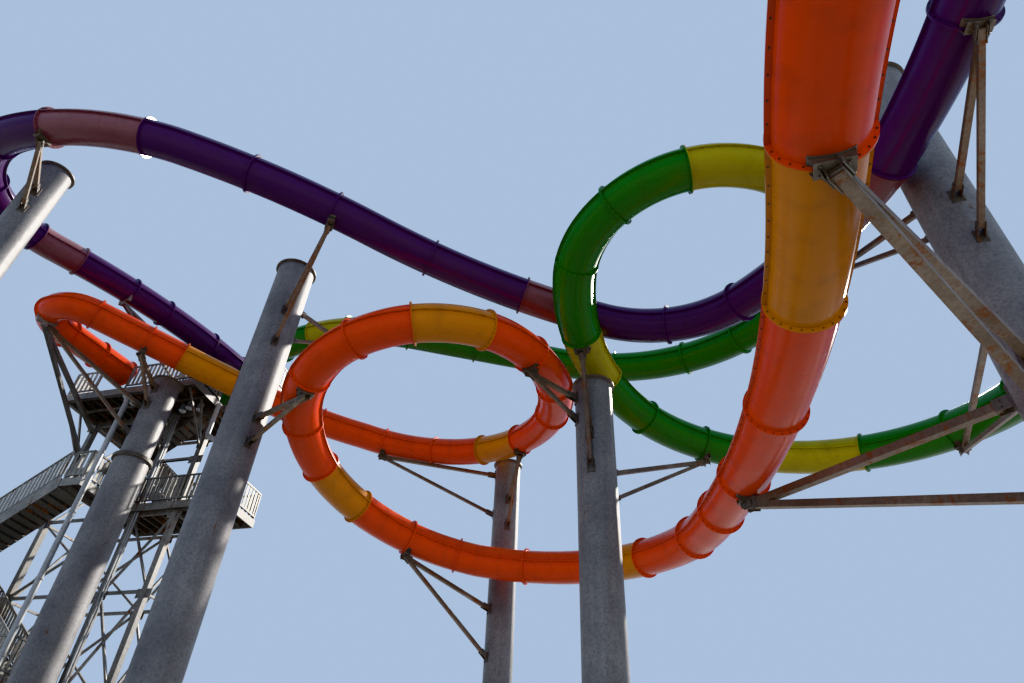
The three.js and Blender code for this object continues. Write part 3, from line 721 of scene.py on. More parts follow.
# %% The tree for bolts
def bolt_tree():
    tree, given = geometry_tree(
        "Flange bolts",
        {
            "Bolt Circle": "Float",
            "Bolts Per Ring": "Int",
            "Pitch": "Float",
            "Seam Thickness": "Float",
            "Head Radius": "Float",
            "Head Height": "Float",
            "Material": "Material",
        },
    )
    joints, runs = joint_parts(tree, given["Geometry"])
    tangent = node(tree, "GeometryNodeInputTangent").outputs[0]
    size = {"Vertices": 6, "Radius": given["Head Radius"], "Depth": given["Head Height"]}
    head = node(tree, "GeometryNodeMeshCylinder", size).outputs["Mesh"]
    ring = circle(tree, given["Bolts Per Ring"], given["Bolt Circle"])
    ring_heads = set_heads(tree, joints, ring, tangent, head)

    resampled = {"Curve": runs, "Length": given["Pitch"]}
    spaced = node(tree, "GeometryNodeResampleCurve", resampled, mode="LENGTH").outputs[0]
    half = calculate(tree, "MULTIPLY", given["Seam Thickness"], 0.5)
    under = calculate(tree, "MULTIPLY", half, -1.0)
    up = square_to(tree, tangent)
    sides = []
    for side in (1, -1):
        across = calculate(tree, "MULTIPLY", given["Bolt Circle"], side)
        low = node(tree, "ShaderNodeCombineXYZ", {"X": across, "Y": under}).outputs[0]
        high = node(tree, "ShaderNodeCombineXYZ", {"X": across, "Y": half}).outputs[0]
        line = node(tree, "GeometryNodeCurvePrimitiveLine", {"Start": low, "End": high}).outputs[0]
        sides.append(set_heads(tree, spaced, line, up, head))
    end_tree(tree, join(tree, ring_heads, *sides), given["Material"])
    return tree


BOLTS = bolt_tree()

# %% Bolts of each slide
BOLTS_PER_RING = 24
BOLT_PITCH = 0.3
BOLT_LINE = 0.55
HEAD_RADIUS = 0.014
HEAD_HEIGHT = 0.018


def slide_bolts(colour, route):
    runs = [stretch(route, start, end) for _, start, end in route["pieces"]]
    joints = sorted({*route["joints"], *(start for _, start, _ in route["pieces"][1:])})
    rings = [points_at(route, (joint - FLANGE_THICKNESS, joint + FLANGE_THICKNESS)) for joint in joints]
    settings = {
        "Bolt Circle": TUBE_RADIUS + FLANGE_REACH * BOLT_LINE,
        "Bolts Per Ring": BOLTS_PER_RING,
        "Pitch": BOLT_PITCH,
        "Seam Thickness": SEAM_THICKNESS,
        "Head Radius": HEAD_RADIUS,
        "Head Height": HEAD_HEIGHT,
        "Material": BOLT_STEEL,
    }
    piece = grown(colour + "_slide_bolts", BOLTS, chain_object(colour + "_bolts", runs, rings), settings)


for colour, route in ROUTES.items():
    slide_bolts(colour, route)

# %% [markdown]
# ## Shapes for steelwork
# Steelwork is cut plate, square tube and turned rings. Four small helpers cover it: a box, a shape turned
# from a profile, a prism from an outline, and a bar between two points. They add to one bmesh, so a column
# with its fittings becomes one piece, and a small bevel at the end catches the light along every edge.

# %% Boxes, turned shapes and prisms
def add_box(shape, low, high, place=Matrix()):
    size = [high[i] - low[i] for i in range(3)]
    middle = [(high[i] + low[i]) / 2 for i in range(3)]
    matrix = place @ Matrix.Translation(middle) @ Matrix.Diagonal((*size, 1))
    bmesh.ops.create_cube(shape, size=1, matrix=matrix)


def around(count, shift=0.0):
    return [2 * math.pi * (i + shift) / count for i in range(count)]


def add_turned(shape, profile, sides, place=Matrix()):
    rings = []
    for radius, height in profile:
        spots = [(radius * math.cos(angle), radius * math.sin(angle), height) for angle in around(sides)]
        rings.append([shape.verts.new(place @ Vector(spot)) for spot in spots])
    for lower, upper in zip(rings, rings[1:]):
        for i in range(sides):
            j = (i + 1) % sides
            shape.faces.new((lower[i], lower[j], upper[j], upper[i]))
    shape.faces.new(list(reversed(rings[0])))
    shape.faces.new(rings[-1])


def add_prism(shape, outline, low, high, place=Matrix()):
    bottom = [shape.verts.new(place @ Vector((x, y, low))) for x, y in outline]
    top = [shape.verts.new(place @ Vector((x, y, high))) for x, y in outline]
    count = len(outline)
    shape.faces.new(list(reversed(bottom)))
    shape.faces.new(top)
    for i in range(count):
        j = (i + 1) % count
        shape.faces.new((bottom[i], bottom[j], top[j], top[i]))


print("helpers for shapes: add_box, add_turned, add_prism")

# %% Bars, rods and bolts
UPWARD = Vector((0, 0, 1))
BOLT_DEPTH = 0.002
ON_SIDE = Matrix.Rotation(math.pi / 2, 4, "X")
ACROSS = Matrix.Rotation(math.pi / 2, 4, "Y")


def basis(across, up, forward, origin):
    return Matrix.Translation(origin) @ Matrix((across, up, forward)).transposed().to_4x4()


def add_bar(shape, start, end, size):
    forward = (end - start).normalized()
    side = UPWARD.cross(forward).normalized()
    place = basis(side, forward.cross(side), forward, start)
    half = size / 2
    add_box(shape, (-half, -half, 0), (half, half, (end - start).length), place)


def add_rod(shape, place, radius, low, high, sides):
    add_turned(shape, [(radius, low), (radius, high)], sides, place)


def add_hex(shape, place, radius, length):
    add_rod(shape, place, radius, 0, length, 6)


print("helpers for bars: basis, add_bar, add_rod, add_hex")

# %% Finished steelwork
BEVEL = 0.004
BEVEL_FROM = 50


def steel_piece(name, shape, finishes, bevel=BEVEL):
    mesh = bpy.data.meshes.new(name)
    shape.to_mesh(mesh)
    shape.free()
    for finish in finishes:
        mesh.materials.append(finish)
    rough = placed(name + "_rough", mesh)
    if bevel:
        edges = rough.modifiers.new("Bevel", "BEVEL")
        edges.width = bevel
        edges.segments = 1
        edges.limit_method = "ANGLE"
        edges.angle_limit = math.radians(BEVEL_FROM)
    return finished(name, rough)


def give_finish(shape, first, finish):
    shape.faces.ensure_lookup_table()
    for face in shape.faces[first:]:
        face.material_index = finish


print("edges of steel are bevelled by", BEVEL * 1000, "mm")

# %% [markdown]
# ## Where the columns and their arms are
# Each column has its centre, radius and top, and a bracket for each place where it holds a slide. A
# bracket names its slide, the station of the saddle, the heights at which its two arms leave the column, and
# the arms' width. One pair of arms is marked as shared, because it meets a saddle that the tower carries.

# %% Columns and brackets
ARM = 0.12
HEAVY_ARM = 0.17
SHARED = True
COLUMNS = {
    "column_a": {
        "centre": (-17.46, -2.01), "radius": 0.48, "top": 19.4,
        "brackets": [(PURPLE, 18.1, (18.0, 17.16), ARM)],
    },
    "column_b": {
        "centre": (-10.06, 0.97), "radius": 0.6, "top": 18.5,
        "brackets": [
            (PURPLE, 26.8, (16.23, 14.88), ARM),
            (ORANGE, 39.1, (12.21, 11.33), ARM),
            (GREEN, 9.2, (17.11, 15.76), ARM),
        ],
    },
    "column_c": {
        "centre": (-2.31, 8.45), "radius": 0.49, "top": 15.6,
        "brackets": [
            (ORANGE, 18.2, (15.11, 13.38), ARM),
            (ORANGE, 24.65, (13.8, 12.66), ARM),
            (ORANGE, 47.2, (9.74, 8.11), ARM),
        ],
    },
    "column_d": {
        "centre": (0, 0), "radius": 0.526, "top": 13.5,
        "brackets": [
            (ORANGE, 31.7, (12.91, 12.13), ARM),
            (GREEN, 41.1, (11.07, 9.83), ARM),
            (GREEN, 47.3, (10.79, 9.99), ARM),
        ],
    },
    "column_e": {
        "centre": (6.53, -7.15), "radius": 0.58, "top": 18.2,
        "brackets": [
            (PURPLE, 48.7, (13.0, 11.75), ARM),
            (GREEN, 28.2, (13.9, 12.98), ARM),
            (ORANGE, 72.15, (9.03, 7.31), HEAVY_ARM),
            (ORANGE, 62.6, (8.67, 6.84), HEAVY_ARM),
            (GREEN, 54.8, (10.96, 8.92), ARM),
        ],
    },
    "column_g": {
        "centre": (-15.74, 5.91), "radius": 0.52, "top": 16.95, "lower": (0.6, 13.5),
        "brackets": [
            (ORANGE, 8.4, (16.3, 15.5), ARM),
            (ORANGE, 4.6, (15.6, 14.4), ARM, SHARED),
        ],
    },
}
print(sum(len(each["brackets"]) for each in COLUMNS.values()), "brackets on", len(COLUMNS), "columns")

# %% [markdown]
# ## Saddles
# A saddle cups the tube from below: a curved plate on two upright webs, over a foot plate with stiffeners
# and bolts. It is drawn in the tube's own cross-section and pushed along it, so that it fits the tube
# wherever the route turns.

# %% Build a saddle
THIN_PLATE = 0.016
SADDLE_REACH = 0.11
SADDLE_HALF_WIDTH = 0.22
SADDLE_HALF_LENGTH = 0.11
SEAT_GAP = 0.003
CUP_THICKNESS = 0.022
CUP_ARC = {"start": 242, "sweep": 56, "steps": 12}
WEB_OFFSET = 0.085
STIFFENER_INSET = 0.05
STIFFENER_HALF_LENGTH = 0.08
WELD_DEPTH = 0.005
SADDLE_BOLT_X = 0.15
SADDLE_BOLT_Z = 0.065
SADDLE_BOLT = {"radius": 0.018, "length": 0.024}


def arc(radius, start, sweep, steps):
    angles = [math.radians(start + sweep * i / steps) for i in range(steps + 1)]
    return [(radius * math.cos(angle), radius * math.sin(angle)) for angle in angles]


def add_saddle(shape, route, station):
    point, heading = place_on(route, station)
    along = Vector((math.cos(heading), math.sin(heading), 0))
    place = basis(UPWARD.cross(along), UPWARD, along, point)
    half = THIN_PLATE / 2
    cup = TUBE_RADIUS + SEAT_GAP
    inner = arc(cup, **CUP_ARC)[::-1]
    outer = arc(cup + CUP_THICKNESS, **CUP_ARC)
    add_prism(shape, outer + inner, -SADDLE_HALF_LENGTH, SADDLE_HALF_LENGTH, place)

    foot = -TUBE_RADIUS - SADDLE_REACH
    web = [(-SADDLE_HALF_WIDTH, foot), (SADDLE_HALF_WIDTH, foot)] + inner
    for middle in (-WEB_OFFSET, WEB_OFFSET):
        add_prism(shape, web, middle - half, middle + half, place)
    corner = (SADDLE_HALF_WIDTH, foot, SADDLE_HALF_LENGTH)
    add_box(shape, (-SADDLE_HALF_WIDTH, foot - THIN_PLATE, -SADDLE_HALF_LENGTH), corner, place)
    for side in (-1, 1):
        end = side * (SADDLE_HALF_WIDTH - STIFFENER_INSET)
        top = (end + half, foot + SADDLE_REACH, STIFFENER_HALF_LENGTH)
        add_box(shape, (end - half, foot - WELD_DEPTH, -STIFFENER_HALF_LENGTH), top, place)
        for reach in (-SADDLE_BOLT_Z, SADDLE_BOLT_Z):
            spot = Matrix.Translation((side * SADDLE_BOLT_X, foot - THIN_PLATE + BOLT_DEPTH, reach))
            add_hex(shape, place @ spot @ ON_SIDE, **SADDLE_BOLT)


print("saddle: cup of", CUP_ARC["sweep"], "degrees,", 2 * SADDLE_HALF_LENGTH, "m long")

# %% [markdown]
# ## Forks, arms and pads
# An arm is a square tube. Each end sits between the two cheeks of a fork with two pins through it: one fork
# stands on a bolted pad on the column, the other hangs under the saddle. Both arms of a bracket meet at the
# same lug, as the sides of a triangle, so they carry the slide in tension and compression.

# %% Build a fork and a hanger
CHEEK_GAP = 0.001
CHEEK_BACK = 0.02
CHEEK_HALF_HEIGHT = 0.75
PIN_SPREAD = 0.35
PIN_PLACE = 0.6
PIN_RADIUS = 0.017
PIN_OVERHANG = 0.035
HANGER_GAP = 0.027
HANGER_DROP = 0.09
HANGER_HALF_LENGTH = 0.13
HANGER_PIN_DROP = 0.02
HANGER_PIN_RADIUS = 0.026
HANGER_PIN_OVERHANG = 0.065


def add_cheeks(shape, offset, low, high, place):
    for side in (-1, 1):
        middle = side * (offset + THIN_PLATE / 2)
        start = (middle - THIN_PLATE / 2, *low)
        add_box(shape, start, (middle + THIN_PLATE / 2, *high), place)


def add_fork(shape, place, size, reach):
    rise = size * CHEEK_HALF_HEIGHT
    add_cheeks(shape, size / 2 + CHEEK_GAP, (-rise, -CHEEK_BACK), (rise, reach), place)
    half = size / 2 + PIN_OVERHANG
    for height in (-size * PIN_SPREAD, size * PIN_SPREAD):
        pin = place @ Matrix.Translation((0, height, reach * PIN_PLACE)) @ ACROSS
        add_rod(shape, pin, PIN_RADIUS, -half, half, 10)


def add_hanger(shape, place, size):
    top = SADDLE_REACH / 2 - THIN_PLATE
    low = (-HANGER_DROP, -HANGER_HALF_LENGTH)
    add_cheeks(shape, size / 2 + HANGER_GAP, low, (top, HANGER_HALF_LENGTH), place)
    half = size / 2 + HANGER_PIN_OVERHANG
    pin = place @ Matrix.Translation((0, -HANGER_PIN_DROP, 0)) @ ACROSS
    add_rod(shape, pin, HANGER_PIN_RADIUS, -half, half, 12)


print("fork for the usual arm:", round(ARM + 2 * (CHEEK_GAP + THIN_PLATE), 3), "m wide")

# %% Build a pad on the column
PAD_DEPTH = 0.09
PAD_FACE = 0.014
PAD_HALF_HEIGHT = 1.5
PAD_BOLTS = [(x, y) for x in (-0.75, 0.75) for y in (-1.2, 1.2)]
PAD_BOLT = {"radius": 0.016, "length": 0.022}


def add_pad(shape, place, width):
    rise = width * PAD_HALF_HEIGHT
    add_box(shape, (-width, -rise, -PAD_DEPTH), (width, rise, PAD_FACE), place)
    for x, y in PAD_BOLTS:
        spot = place @ Matrix.Translation((x * width, y * width, PAD_FACE - BOLT_DEPTH))
        add_hex(shape, spot, **PAD_BOLT)


print("pads have", len(PAD_BOLTS), "bolts")

# %% Build a bracket
LUG_DROP = TUBE_RADIUS + 1.5 * SADDLE_REACH
SHARED_ARM_END = 0.26
LOWER_ARM_SHARE = 0.9
FOOT_DEPTH = 0.2
FORK_REACH = 0.3
FORK_PAST_LUG = 0.06
ARM_START = 0.2
FINISHES = (COLUMN_PAINT, ARM_PAINT, FITTING_PAINT)
ARMS = FINISHES.index(ARM_PAINT)
FITTINGS = FINISHES.index(FITTING_PAINT)


def add_bracket(shape, centre, radius, route, station, feet, size, shared=False):
    first = len(shape.faces)
    point, _ = place_on(route, station)
    lug = point - UPWARD * LUG_DROP
    toward = Vector((lug.x - centre[0], lug.y - centre[1], 0)).normalized()
    across = UPWARD.cross(toward)
    end = lug
    if shared:
        end = lug - toward * SHARED_ARM_END - UPWARD * (SADDLE_REACH / 2)
    else:
        add_saddle(shape, route, station)
        add_hanger(shape, basis(across, UPWARD, toward, lug), size)
    arms = []
    for order, height in enumerate(feet):
        width = size * LOWER_ARM_SHARE ** order
        inside = Vector((*centre, height)) + toward * radius * (1 - FOOT_DEPTH)
        direction = (end - inside).normalized()
        near = inside + direction * (radius * FOOT_DEPTH / direction.dot(toward))
        top = direction.cross(across).normalized()
        far = end + direction * FORK_PAST_LUG
        add_fork(shape, basis(across, top, direction, near), width, FORK_REACH)
        add_pad(shape, basis(across, UPWARD, toward, near), width)
        add_fork(shape, basis(-across, top, -direction, far), width, FORK_REACH)
        arms.append((near + direction * ARM_START, end, width))
    give_finish(shape, first, FITTINGS)
    first = len(shape.faces)
    for near, far, width in arms:
        add_bar(shape, near, far, width)
    give_finish(shape, first, ARMS)


print("lugs hang", round(LUG_DROP, 3), "m under the tube's middle")

# %% [markdown]
# ## Columns
# A column is a rolled steel tube on a round base plate with stiffeners and anchor bolts, closed by a cap
# whose rim stands proud. The column beside the tower is made of two lengths, bolted at a splice. These round
# shapes are turned from short profiles, which gives clean edges for the bevel.

# %% Build a base and a splice
ROUND_SIDES = 64
BASE_PLATE = 0.05
BASE_MARGIN = 0.18
BASE_BOLTS = 12
BASE_BOLT_CIRCLE = 0.1
BASE_BOLT_PARTS = {
    "washer": (0.045, 0, 0.012, 16),
    "nut": (0.03, 0.01, 0.04, 6),
    "stud": (0.018, 0.03, 0.09, 10),
}
GUSSET_INSET = 0.02
GUSSET_LOW = 0.03
GUSSET_HIGH = 0.3
CAP_RIM = 0.08
CAP_THICKNESS = 0.06
SPLICE_BOLTS = 32
SPLICE_BOLT_CIRCLE = 0.045
SPLICE_BOLT_RADIUS = 0.024
SPLICE_BOLT_HALF = 0.095
SPLICE_GAP = 0.006


def add_base(shape, radius, place):
    wide = radius + BASE_MARGIN
    add_rod(shape, place, wide, 0, BASE_PLATE, ROUND_SIDES)
    gusset = [
        (radius - GUSSET_INSET, BASE_PLATE - WELD_DEPTH),
        (wide - GUSSET_INSET, BASE_PLATE - WELD_DEPTH),
        (wide - GUSSET_INSET, BASE_PLATE + GUSSET_LOW),
        (radius - GUSSET_INSET, BASE_PLATE + GUSSET_HIGH),
    ]
    spot = Matrix.Translation((radius + BASE_BOLT_CIRCLE, 0, 0))
    for angle, between in zip(around(BASE_BOLTS), around(BASE_BOLTS, shift=0.5)):
        turn = place @ Matrix.Rotation(angle, 4, "Z") @ ON_SIDE
        add_prism(shape, gusset, -THIN_PLATE / 2, THIN_PLATE / 2, turn)
        bolt = place @ Matrix.Rotation(between, 4, "Z") @ spot
        for thickness, low, high, sides in BASE_BOLT_PARTS.values():
            add_rod(shape, bolt, thickness, BASE_PLATE + low, BASE_PLATE + high, sides)


def add_splice(shape, radius, level, place):
    half = SPLICE_GAP / 2
    for low, high in ((level - CAP_THICKNESS, level - half), (level + half, level + CAP_THICKNESS)):
        add_rod(shape, place, radius + CAP_RIM, low, high, ROUND_SIDES)
    for angle in around(SPLICE_BOLTS):
        spot = Matrix.Translation((radius + SPLICE_BOLT_CIRCLE, 0, level))
        bolt = place @ Matrix.Rotation(angle, 4, "Z") @ spot
        add_rod(shape, bolt, SPLICE_BOLT_RADIUS, -SPLICE_BOLT_HALF, SPLICE_BOLT_HALF, 6)


print("base plates reach", BASE_MARGIN, "m past the column, with", BASE_BOLTS, "bolts")

# %% Build the columns
SHAFT_OVERLAP = 0.01
CAP_BEVEL = 0.008
CAP_PROFILE = [
    (0.02, -CAP_THICKNESS - 0.001),
    (CAP_RIM, -CAP_THICKNESS + 0.012),
    (CAP_RIM, -CAP_BEVEL),
    (CAP_RIM - CAP_BEVEL, 0),
]


def add_column(shape, centre, radius, top, brackets, lower=None):
    place = Matrix.Translation((*centre, 0))
    foot_radius, joint = lower or (radius, top)
    add_rod(shape, place, foot_radius, BASE_PLATE - SHAFT_OVERLAP, joint - 2 * SHAFT_OVERLAP, ROUND_SIDES)
    if lower:
        add_rod(shape, place, radius, joint - 5 * SHAFT_OVERLAP, top - 2 * SHAFT_OVERLAP, ROUND_SIDES)
    first = len(shape.faces)
    add_base(shape, foot_radius, place)
    cap = [(radius + reach, top + height) for reach, height in CAP_PROFILE]
    add_turned(shape, cap, ROUND_SIDES, place)
    if lower:
        add_splice(shape, foot_radius, joint, place)
    give_finish(shape, first, FITTINGS)
    for each in brackets:
        add_bracket(shape, centre, radius, *each)


for name, each in COLUMNS.items():
    shape = bmesh.new()
    add_column(shape, **each)
    piece = steel_piece(name + "_steel", shape, FINISHES)
    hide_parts(name)

# %% [markdown]
# ## The stair tower
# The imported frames, decks and flights already have their real members, so they stay and get the tower's
# paint. What repeats is added: the slats of the railings, the joists under the decks and the ribs under
# the flights. One tree sets a small box at an even pitch along a line and serves all three.

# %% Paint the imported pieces
TOWER_NODES = [
    name
    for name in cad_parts
    if name.startswith(("tower_", "lower_", "upper_", "middle_", "outer_", "stair_"))
]
for name in TOWER_NODES:
    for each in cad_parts[name].material_slots:
        each.material = TOWER_PAINT
print(len(TOWER_NODES), "tower pieces painted")

# %% The tree for slats, joists and ribs
def repeat_tree():
    tree, given = geometry_tree(
        "Boxes along a line",
        {"Pitch": "Float", "Size": "Vector", "Lift": "Float", "Material": "Material"},
    )
    curve = node(tree, "GeometryNodeMeshToCurve", {"Mesh": given["Geometry"]}).outputs[0]
    resampled = {"Curve": curve, "Length": given["Pitch"]}
    spaced = node(tree, "GeometryNodeResampleCurve", resampled, mode="LENGTH").outputs[0]
    tangent = node(tree, "GeometryNodeInputTangent").outputs[0]
    level = node(tree, "ShaderNodeVectorMath", {0: tangent, 1: (1, 1, 0)}, operation="MULTIPLY").outputs[0]
    turn = node(tree, "FunctionNodeAlignRotationToVector", {"Vector": level}, axis="X").outputs[0]
    cube = node(tree, "GeometryNodeMeshCube", {"Size": given["Size"]}).outputs["Mesh"]
    lift = node(tree, "ShaderNodeCombineXYZ", {"Z": given["Lift"]}).outputs[0]
    lifted = node(tree, "GeometryNodeTransform", {"Geometry": cube, "Translation": lift}).outputs[0]
    spread = {"Points": spaced, "Instance": lifted, "Rotation": turn}
    boxes = node(tree, "GeometryNodeInstanceOnPoints", spread).outputs[0]
    end_tree(tree, boxes, given["Material"])
    return tree


BOXES = repeat_tree()

# %% Lines in the tower's own frame
TOWER = Matrix.Translation((-16.2, 8.31, 0)) @ Matrix.Rotation(math.radians(-16), 4, "Z")


def tower_lines(lines):
    return [[TOWER @ Vector(point) for point in line] for line in lines]


def along_lines(name, lines, pitch, size, lift, material):
    settings = {"Pitch": pitch, "Size": size, "Lift": lift, "Material": material}
    piece = grown(name, BOXES, chain_object(name + "_lines", tower_lines(lines)), settings)


print("tower stands at", [round(value, 2) for value in TOWER.translation])

# %% [markdown]
# ## Levels and lanes
# The tower's levels, lanes and corners are written once, in its own frame: x along its front, y away from
# it. A flight is a lane with a foot and a head. Its treads and risers follow from the climb, because no
# riser is higher than a comfortable step, so every part below takes them from the same helper.

# %% Levels and flights
STOREY = 3.225
MIDDLE = 12.9
HALF_LANDING = 15.1
LOWER = 17.3
UPPER = 19.7
OUTER_END = -5.55
TOWER_END = -1.35
LANE_FRONT = (-2.45, -1.38)
LANE_BACK = (-1.27, -0.2)
TALLEST_RISER = 0.195
FLIGHTS = {
    "stair_flight_1": (LANE_BACK, (TOWER_END, 0), (OUTER_END, STOREY)),
    "stair_flight_2": (LANE_FRONT, (OUTER_END, STOREY), (TOWER_END, 2 * STOREY)),
    "stair_flight_3": (LANE_BACK, (TOWER_END, 2 * STOREY), (OUTER_END, 3 * STOREY)),
    "stair_flight_4": (LANE_FRONT, (OUTER_END, 3 * STOREY), (TOWER_END, MIDDLE)),
    "stair_flight_5": ((0.98, 1.78), (0.9, MIDDLE), (-1.9, HALF_LANDING)),
    "stair_flight_6": ((0.12, 0.84), (-1.9, HALF_LANDING), (0.9, LOWER)),
    "stair_flight_7": ((0.96, 1.72), (-3.9, LOWER), (-1.0, UPPER)),
}


def step_of(foot, head):
    risers = math.ceil((head[1] - foot[1]) / TALLEST_RISER)
    return (head[0] - foot[0]) / risers, (head[1] - foot[1]) / risers


for name, (_, foot, head) in FLIGHTS.items():
    print(name, "riser", round(step_of(foot, head)[1], 3), "m")

# %% Corners of the level railings
OUTER_CORNERS = [(-5.65, -2.41), (-6.56, -2.41), (-6.56, -0.24), (-5.65, -0.24)]
INNER_CORNERS = [(-1.25, -2.41), (-0.14, -2.41), (-0.14, -0.15), (-1.25, -0.15)]
LEVEL_RAILS = [
    (LOWER, [(-4.06, 1.76), (-4.06, -1.86), (-2.75, -1.86)]),
    (LOWER, [(-1.3, -1.86), (2.06, -1.86), (2.06, -0.3)]),
    (LOWER, [(2.76, 0.85), (2.76, 1.76), (1.65, 1.76)]),
    (LOWER, [(-0.15, 1.76), (-4.06, 1.76)]),
    (UPPER, [(-0.96, 1.9), (-0.96, 3.36), (2.76, 3.36), (2.76, 0.99), (1.4, 0.99)]),
    (UPPER, [(-0.08, 0.99), (-0.9, 0.99)]),
    (MIDDLE, [(-1.31, -2.41), (-0.49, -2.41), (-0.49, -0.21), (3.86, -0.21), (3.86, 1.76), (1.1, 1.76)]),
    (MIDDLE, [(-1.31, -1.25), (-1.31, 1.76)]),
    (STOREY, OUTER_CORNERS),
    (3 * STOREY, OUTER_CORNERS),
    (2 * STOREY, INNER_CORNERS),
]
print(len(LEVEL_RAILS), "level railings")

# %% [markdown]
# ## Railing slats
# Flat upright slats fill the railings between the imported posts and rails. On the decks they follow the
# corners of each level, and beside a flight they climb with it, half a step inside its ends. Each stretch
# ends a little before the corner, so that slats of two sides never meet there.

# %% Slats of the railings
SLAT_PITCH = 0.19
SLAT_SIZE = (0.115, 0.014, 0.93)
SLAT_MIDDLE = 0.6
SLAT_INSET = 0.1
RAIL_INSET = 0.04


def flight_line(foot, head):
    going, riser = step_of(foot, head)
    low = (foot[0] + 1.5 * going, foot[1] + 2.5 * riser)
    return low, (head[0] - 0.5 * going, head[1] + 0.5 * riser)


slat_lines = []
for level, corners in LEVEL_RAILS:
    for start, end in zip(corners, corners[1:]):
        inset = (Vector(end) - Vector(start)).normalized() * SLAT_INSET
        slat_lines.append([(*(Vector(start) + inset), level), (*(Vector(end) - inset), level)])
for lane, foot, head in FLIGHTS.values():
    low, high = flight_line(foot, head)
    for y in (lane[0] + RAIL_INSET, lane[1] - RAIL_INSET):
        slat_lines.append([(low[0], y, low[1]), (high[0], y, high[1])])
along_lines("railing_slats", slat_lines, SLAT_PITCH, SLAT_SIZE, SLAT_MIDDLE, SLAT_FINISH)

# %% [markdown]
# ## Joists and ribs
# From below, a deck shows the beams that carry its floor, and a flight shows the folded edges of its
# treads. Both are close rows of thin members, painted dark as the shade under the decks and flights. The
# joists hang under the floors, and the ribs sit on the underside of each flight between its first and last
# steps.

# %% Joists under the decks
JOIST_PITCH = 0.4
JOIST_WIDTH = 0.05
JOIST_HEIGHT = 0.16
FLOOR_THICKNESS = 0.08
JOISTS = {
    "back_joists": (1.68, [((-4.0, 0.9), (2.7, 0.9), LOWER), ((-1.25, 0.9), (3.8, 0.9), MIDDLE)]),
    "front_joists": (1.76, [((-4.0, -0.95), (2.0, -0.95), LOWER)]),
    "upper_joists": (2.33, [((-0.9, 2.2), (2.7, 2.2), UPPER)]),
}
for name, (span, rows) in JOISTS.items():
    lines = [
        [(*start, level - FLOOR_THICKNESS), (*end, level - FLOOR_THICKNESS)] for start, end, level in rows
    ]
    along_lines(name, lines, JOIST_PITCH, (JOIST_WIDTH, span, JOIST_HEIGHT), -JOIST_HEIGHT / 2, SHADED_DECK_PAINT)

# %% Ribs under the flights
FLIGHT_THICKNESS = 0.18
RIB_PITCH = 0.28
RIB_WIDTH = 0.02
RIB_HEIGHT = 0.1
RIB_LIFT = -0.02
OUTER_FLIGHTS = 4


def rib_line(lane, foot, head):
    going, riser = step_of(foot, head)
    middle = (lane[0] + lane[1]) / 2
    low = (foot[0] + 2.2 * going, middle, foot[1] + riser)
    return [low, (head[0] - going, middle, head[1] - FLIGHT_THICKNESS - 2 * riser)]


rib_lines = [rib_line(*flight) for flight in FLIGHTS.values()]
for name, lines, span in (
    ("outer_stair_ribs", rib_lines[:OUTER_FLIGHTS], 1.0),
    ("inner_stair_ribs", rib_lines[OUTER_FLIGHTS:], 0.66),
):
    along_lines(name, lines, RIB_PITCH, (RIB_WIDTH, span, RIB_HEIGHT), RIB_LIFT, SHADED_DECK_PAINT)

# %% [markdown]
# ## Stringers
# A stringer is the sloping plate at each side of a flight, which hides the ends of the treads. It is a flat
# outline that starts level on the floor, climbs with the steps and ends upright at the landing, so it is
# cut as a prism rather than built from boxes.

# %% Stringers beside the flights
STRINGER = 0.014
STRINGER_RISE = 0.03


def stringer_outline(foot, head):
    going, riser = step_of(foot, head)
    outline = [
        (foot[0], foot[1]),
        (foot[0] + 1.2 * going, foot[1]),
        (head[0], head[1] - FLIGHT_THICKNESS - riser),
        (head[0], head[1] + STRINGER_RISE),
        (head[0] - going, head[1] + STRINGER_RISE),
        (foot[0], foot[1] + riser + STRINGER_RISE),
    ]
    return outline if head[0] > foot[0] else outline[::-1]


stringers = bmesh.new()
for lane, foot, head in FLIGHTS.values():
    for y in (lane[0] - STRINGER, lane[1]):
        add_prism(stringers, stringer_outline(foot, head), -y - STRINGER, -y, TOWER @ ON_SIDE)
steel_piece("stair_stringers", stringers, (TOWER_PAINT,), bevel=0)

# %% [markdown]
# ## Gusset plates
# Where struts and braces meet a leg, a plate joins them with two rows of bolts. The plates stand on the
# outer faces of the front and the back frame, one at each strut, so two loops place them all. They are too
# thin for a bevel to show.

# %% Gusset plates where struts and braces meet the legs
LEG_X = (-4.0, 0.0, 1.8)
BACK_Y = 1.9
STRUT_TOPS = (3.225, 6.45, 9.675, 12.6, 14.9, 17.0)
STRUT_FACE = 0.05
PLATE = 0.014
PLATE_REACH = 0.3
PLATE_RISE = 0.02
PLATE_BOLTS = [(x, drop) for x in (-0.24, -0.16, 0.16, 0.24) for drop in (-0.05, -0.22)]
PLATE_BOLT = {"radius": 0.018, "length": PLATE + 0.016}


def add_gusset(shape, x, y, side, top):
    face = y + side * STRUT_FACE
    outer = face + side * PLATE
    low = (x - PLATE_REACH, min(face, outer), top - PLATE_REACH)
    add_box(shape, low, (x + PLATE_REACH, max(face, outer), top + PLATE_RISE), TOWER)
    outward = Matrix.Rotation(-side * math.pi / 2, 4, "X")
    for shift, drop in PLATE_BOLTS:
        spot = TOWER @ Matrix.Translation((x + shift, face, top + drop))
        add_hex(shape, spot @ outward, **PLATE_BOLT)


gussets = bmesh.new()
for y, side in ((0, -1), (BACK_Y, 1)):
    for x in LEG_X:
        for top in STRUT_TOPS:
            add_gusset(gussets, x, y, side, top)
steel_piece("gusset_plates", gussets, (TOWER_PAINT,), bevel=0)

# %% [markdown]
# ## Knee braces
# The lower deck stands out past the tower's front. Sloping knee braces carry it from the legs, under two
# beams that run along the deck. They are square bars between two points, like the arms.

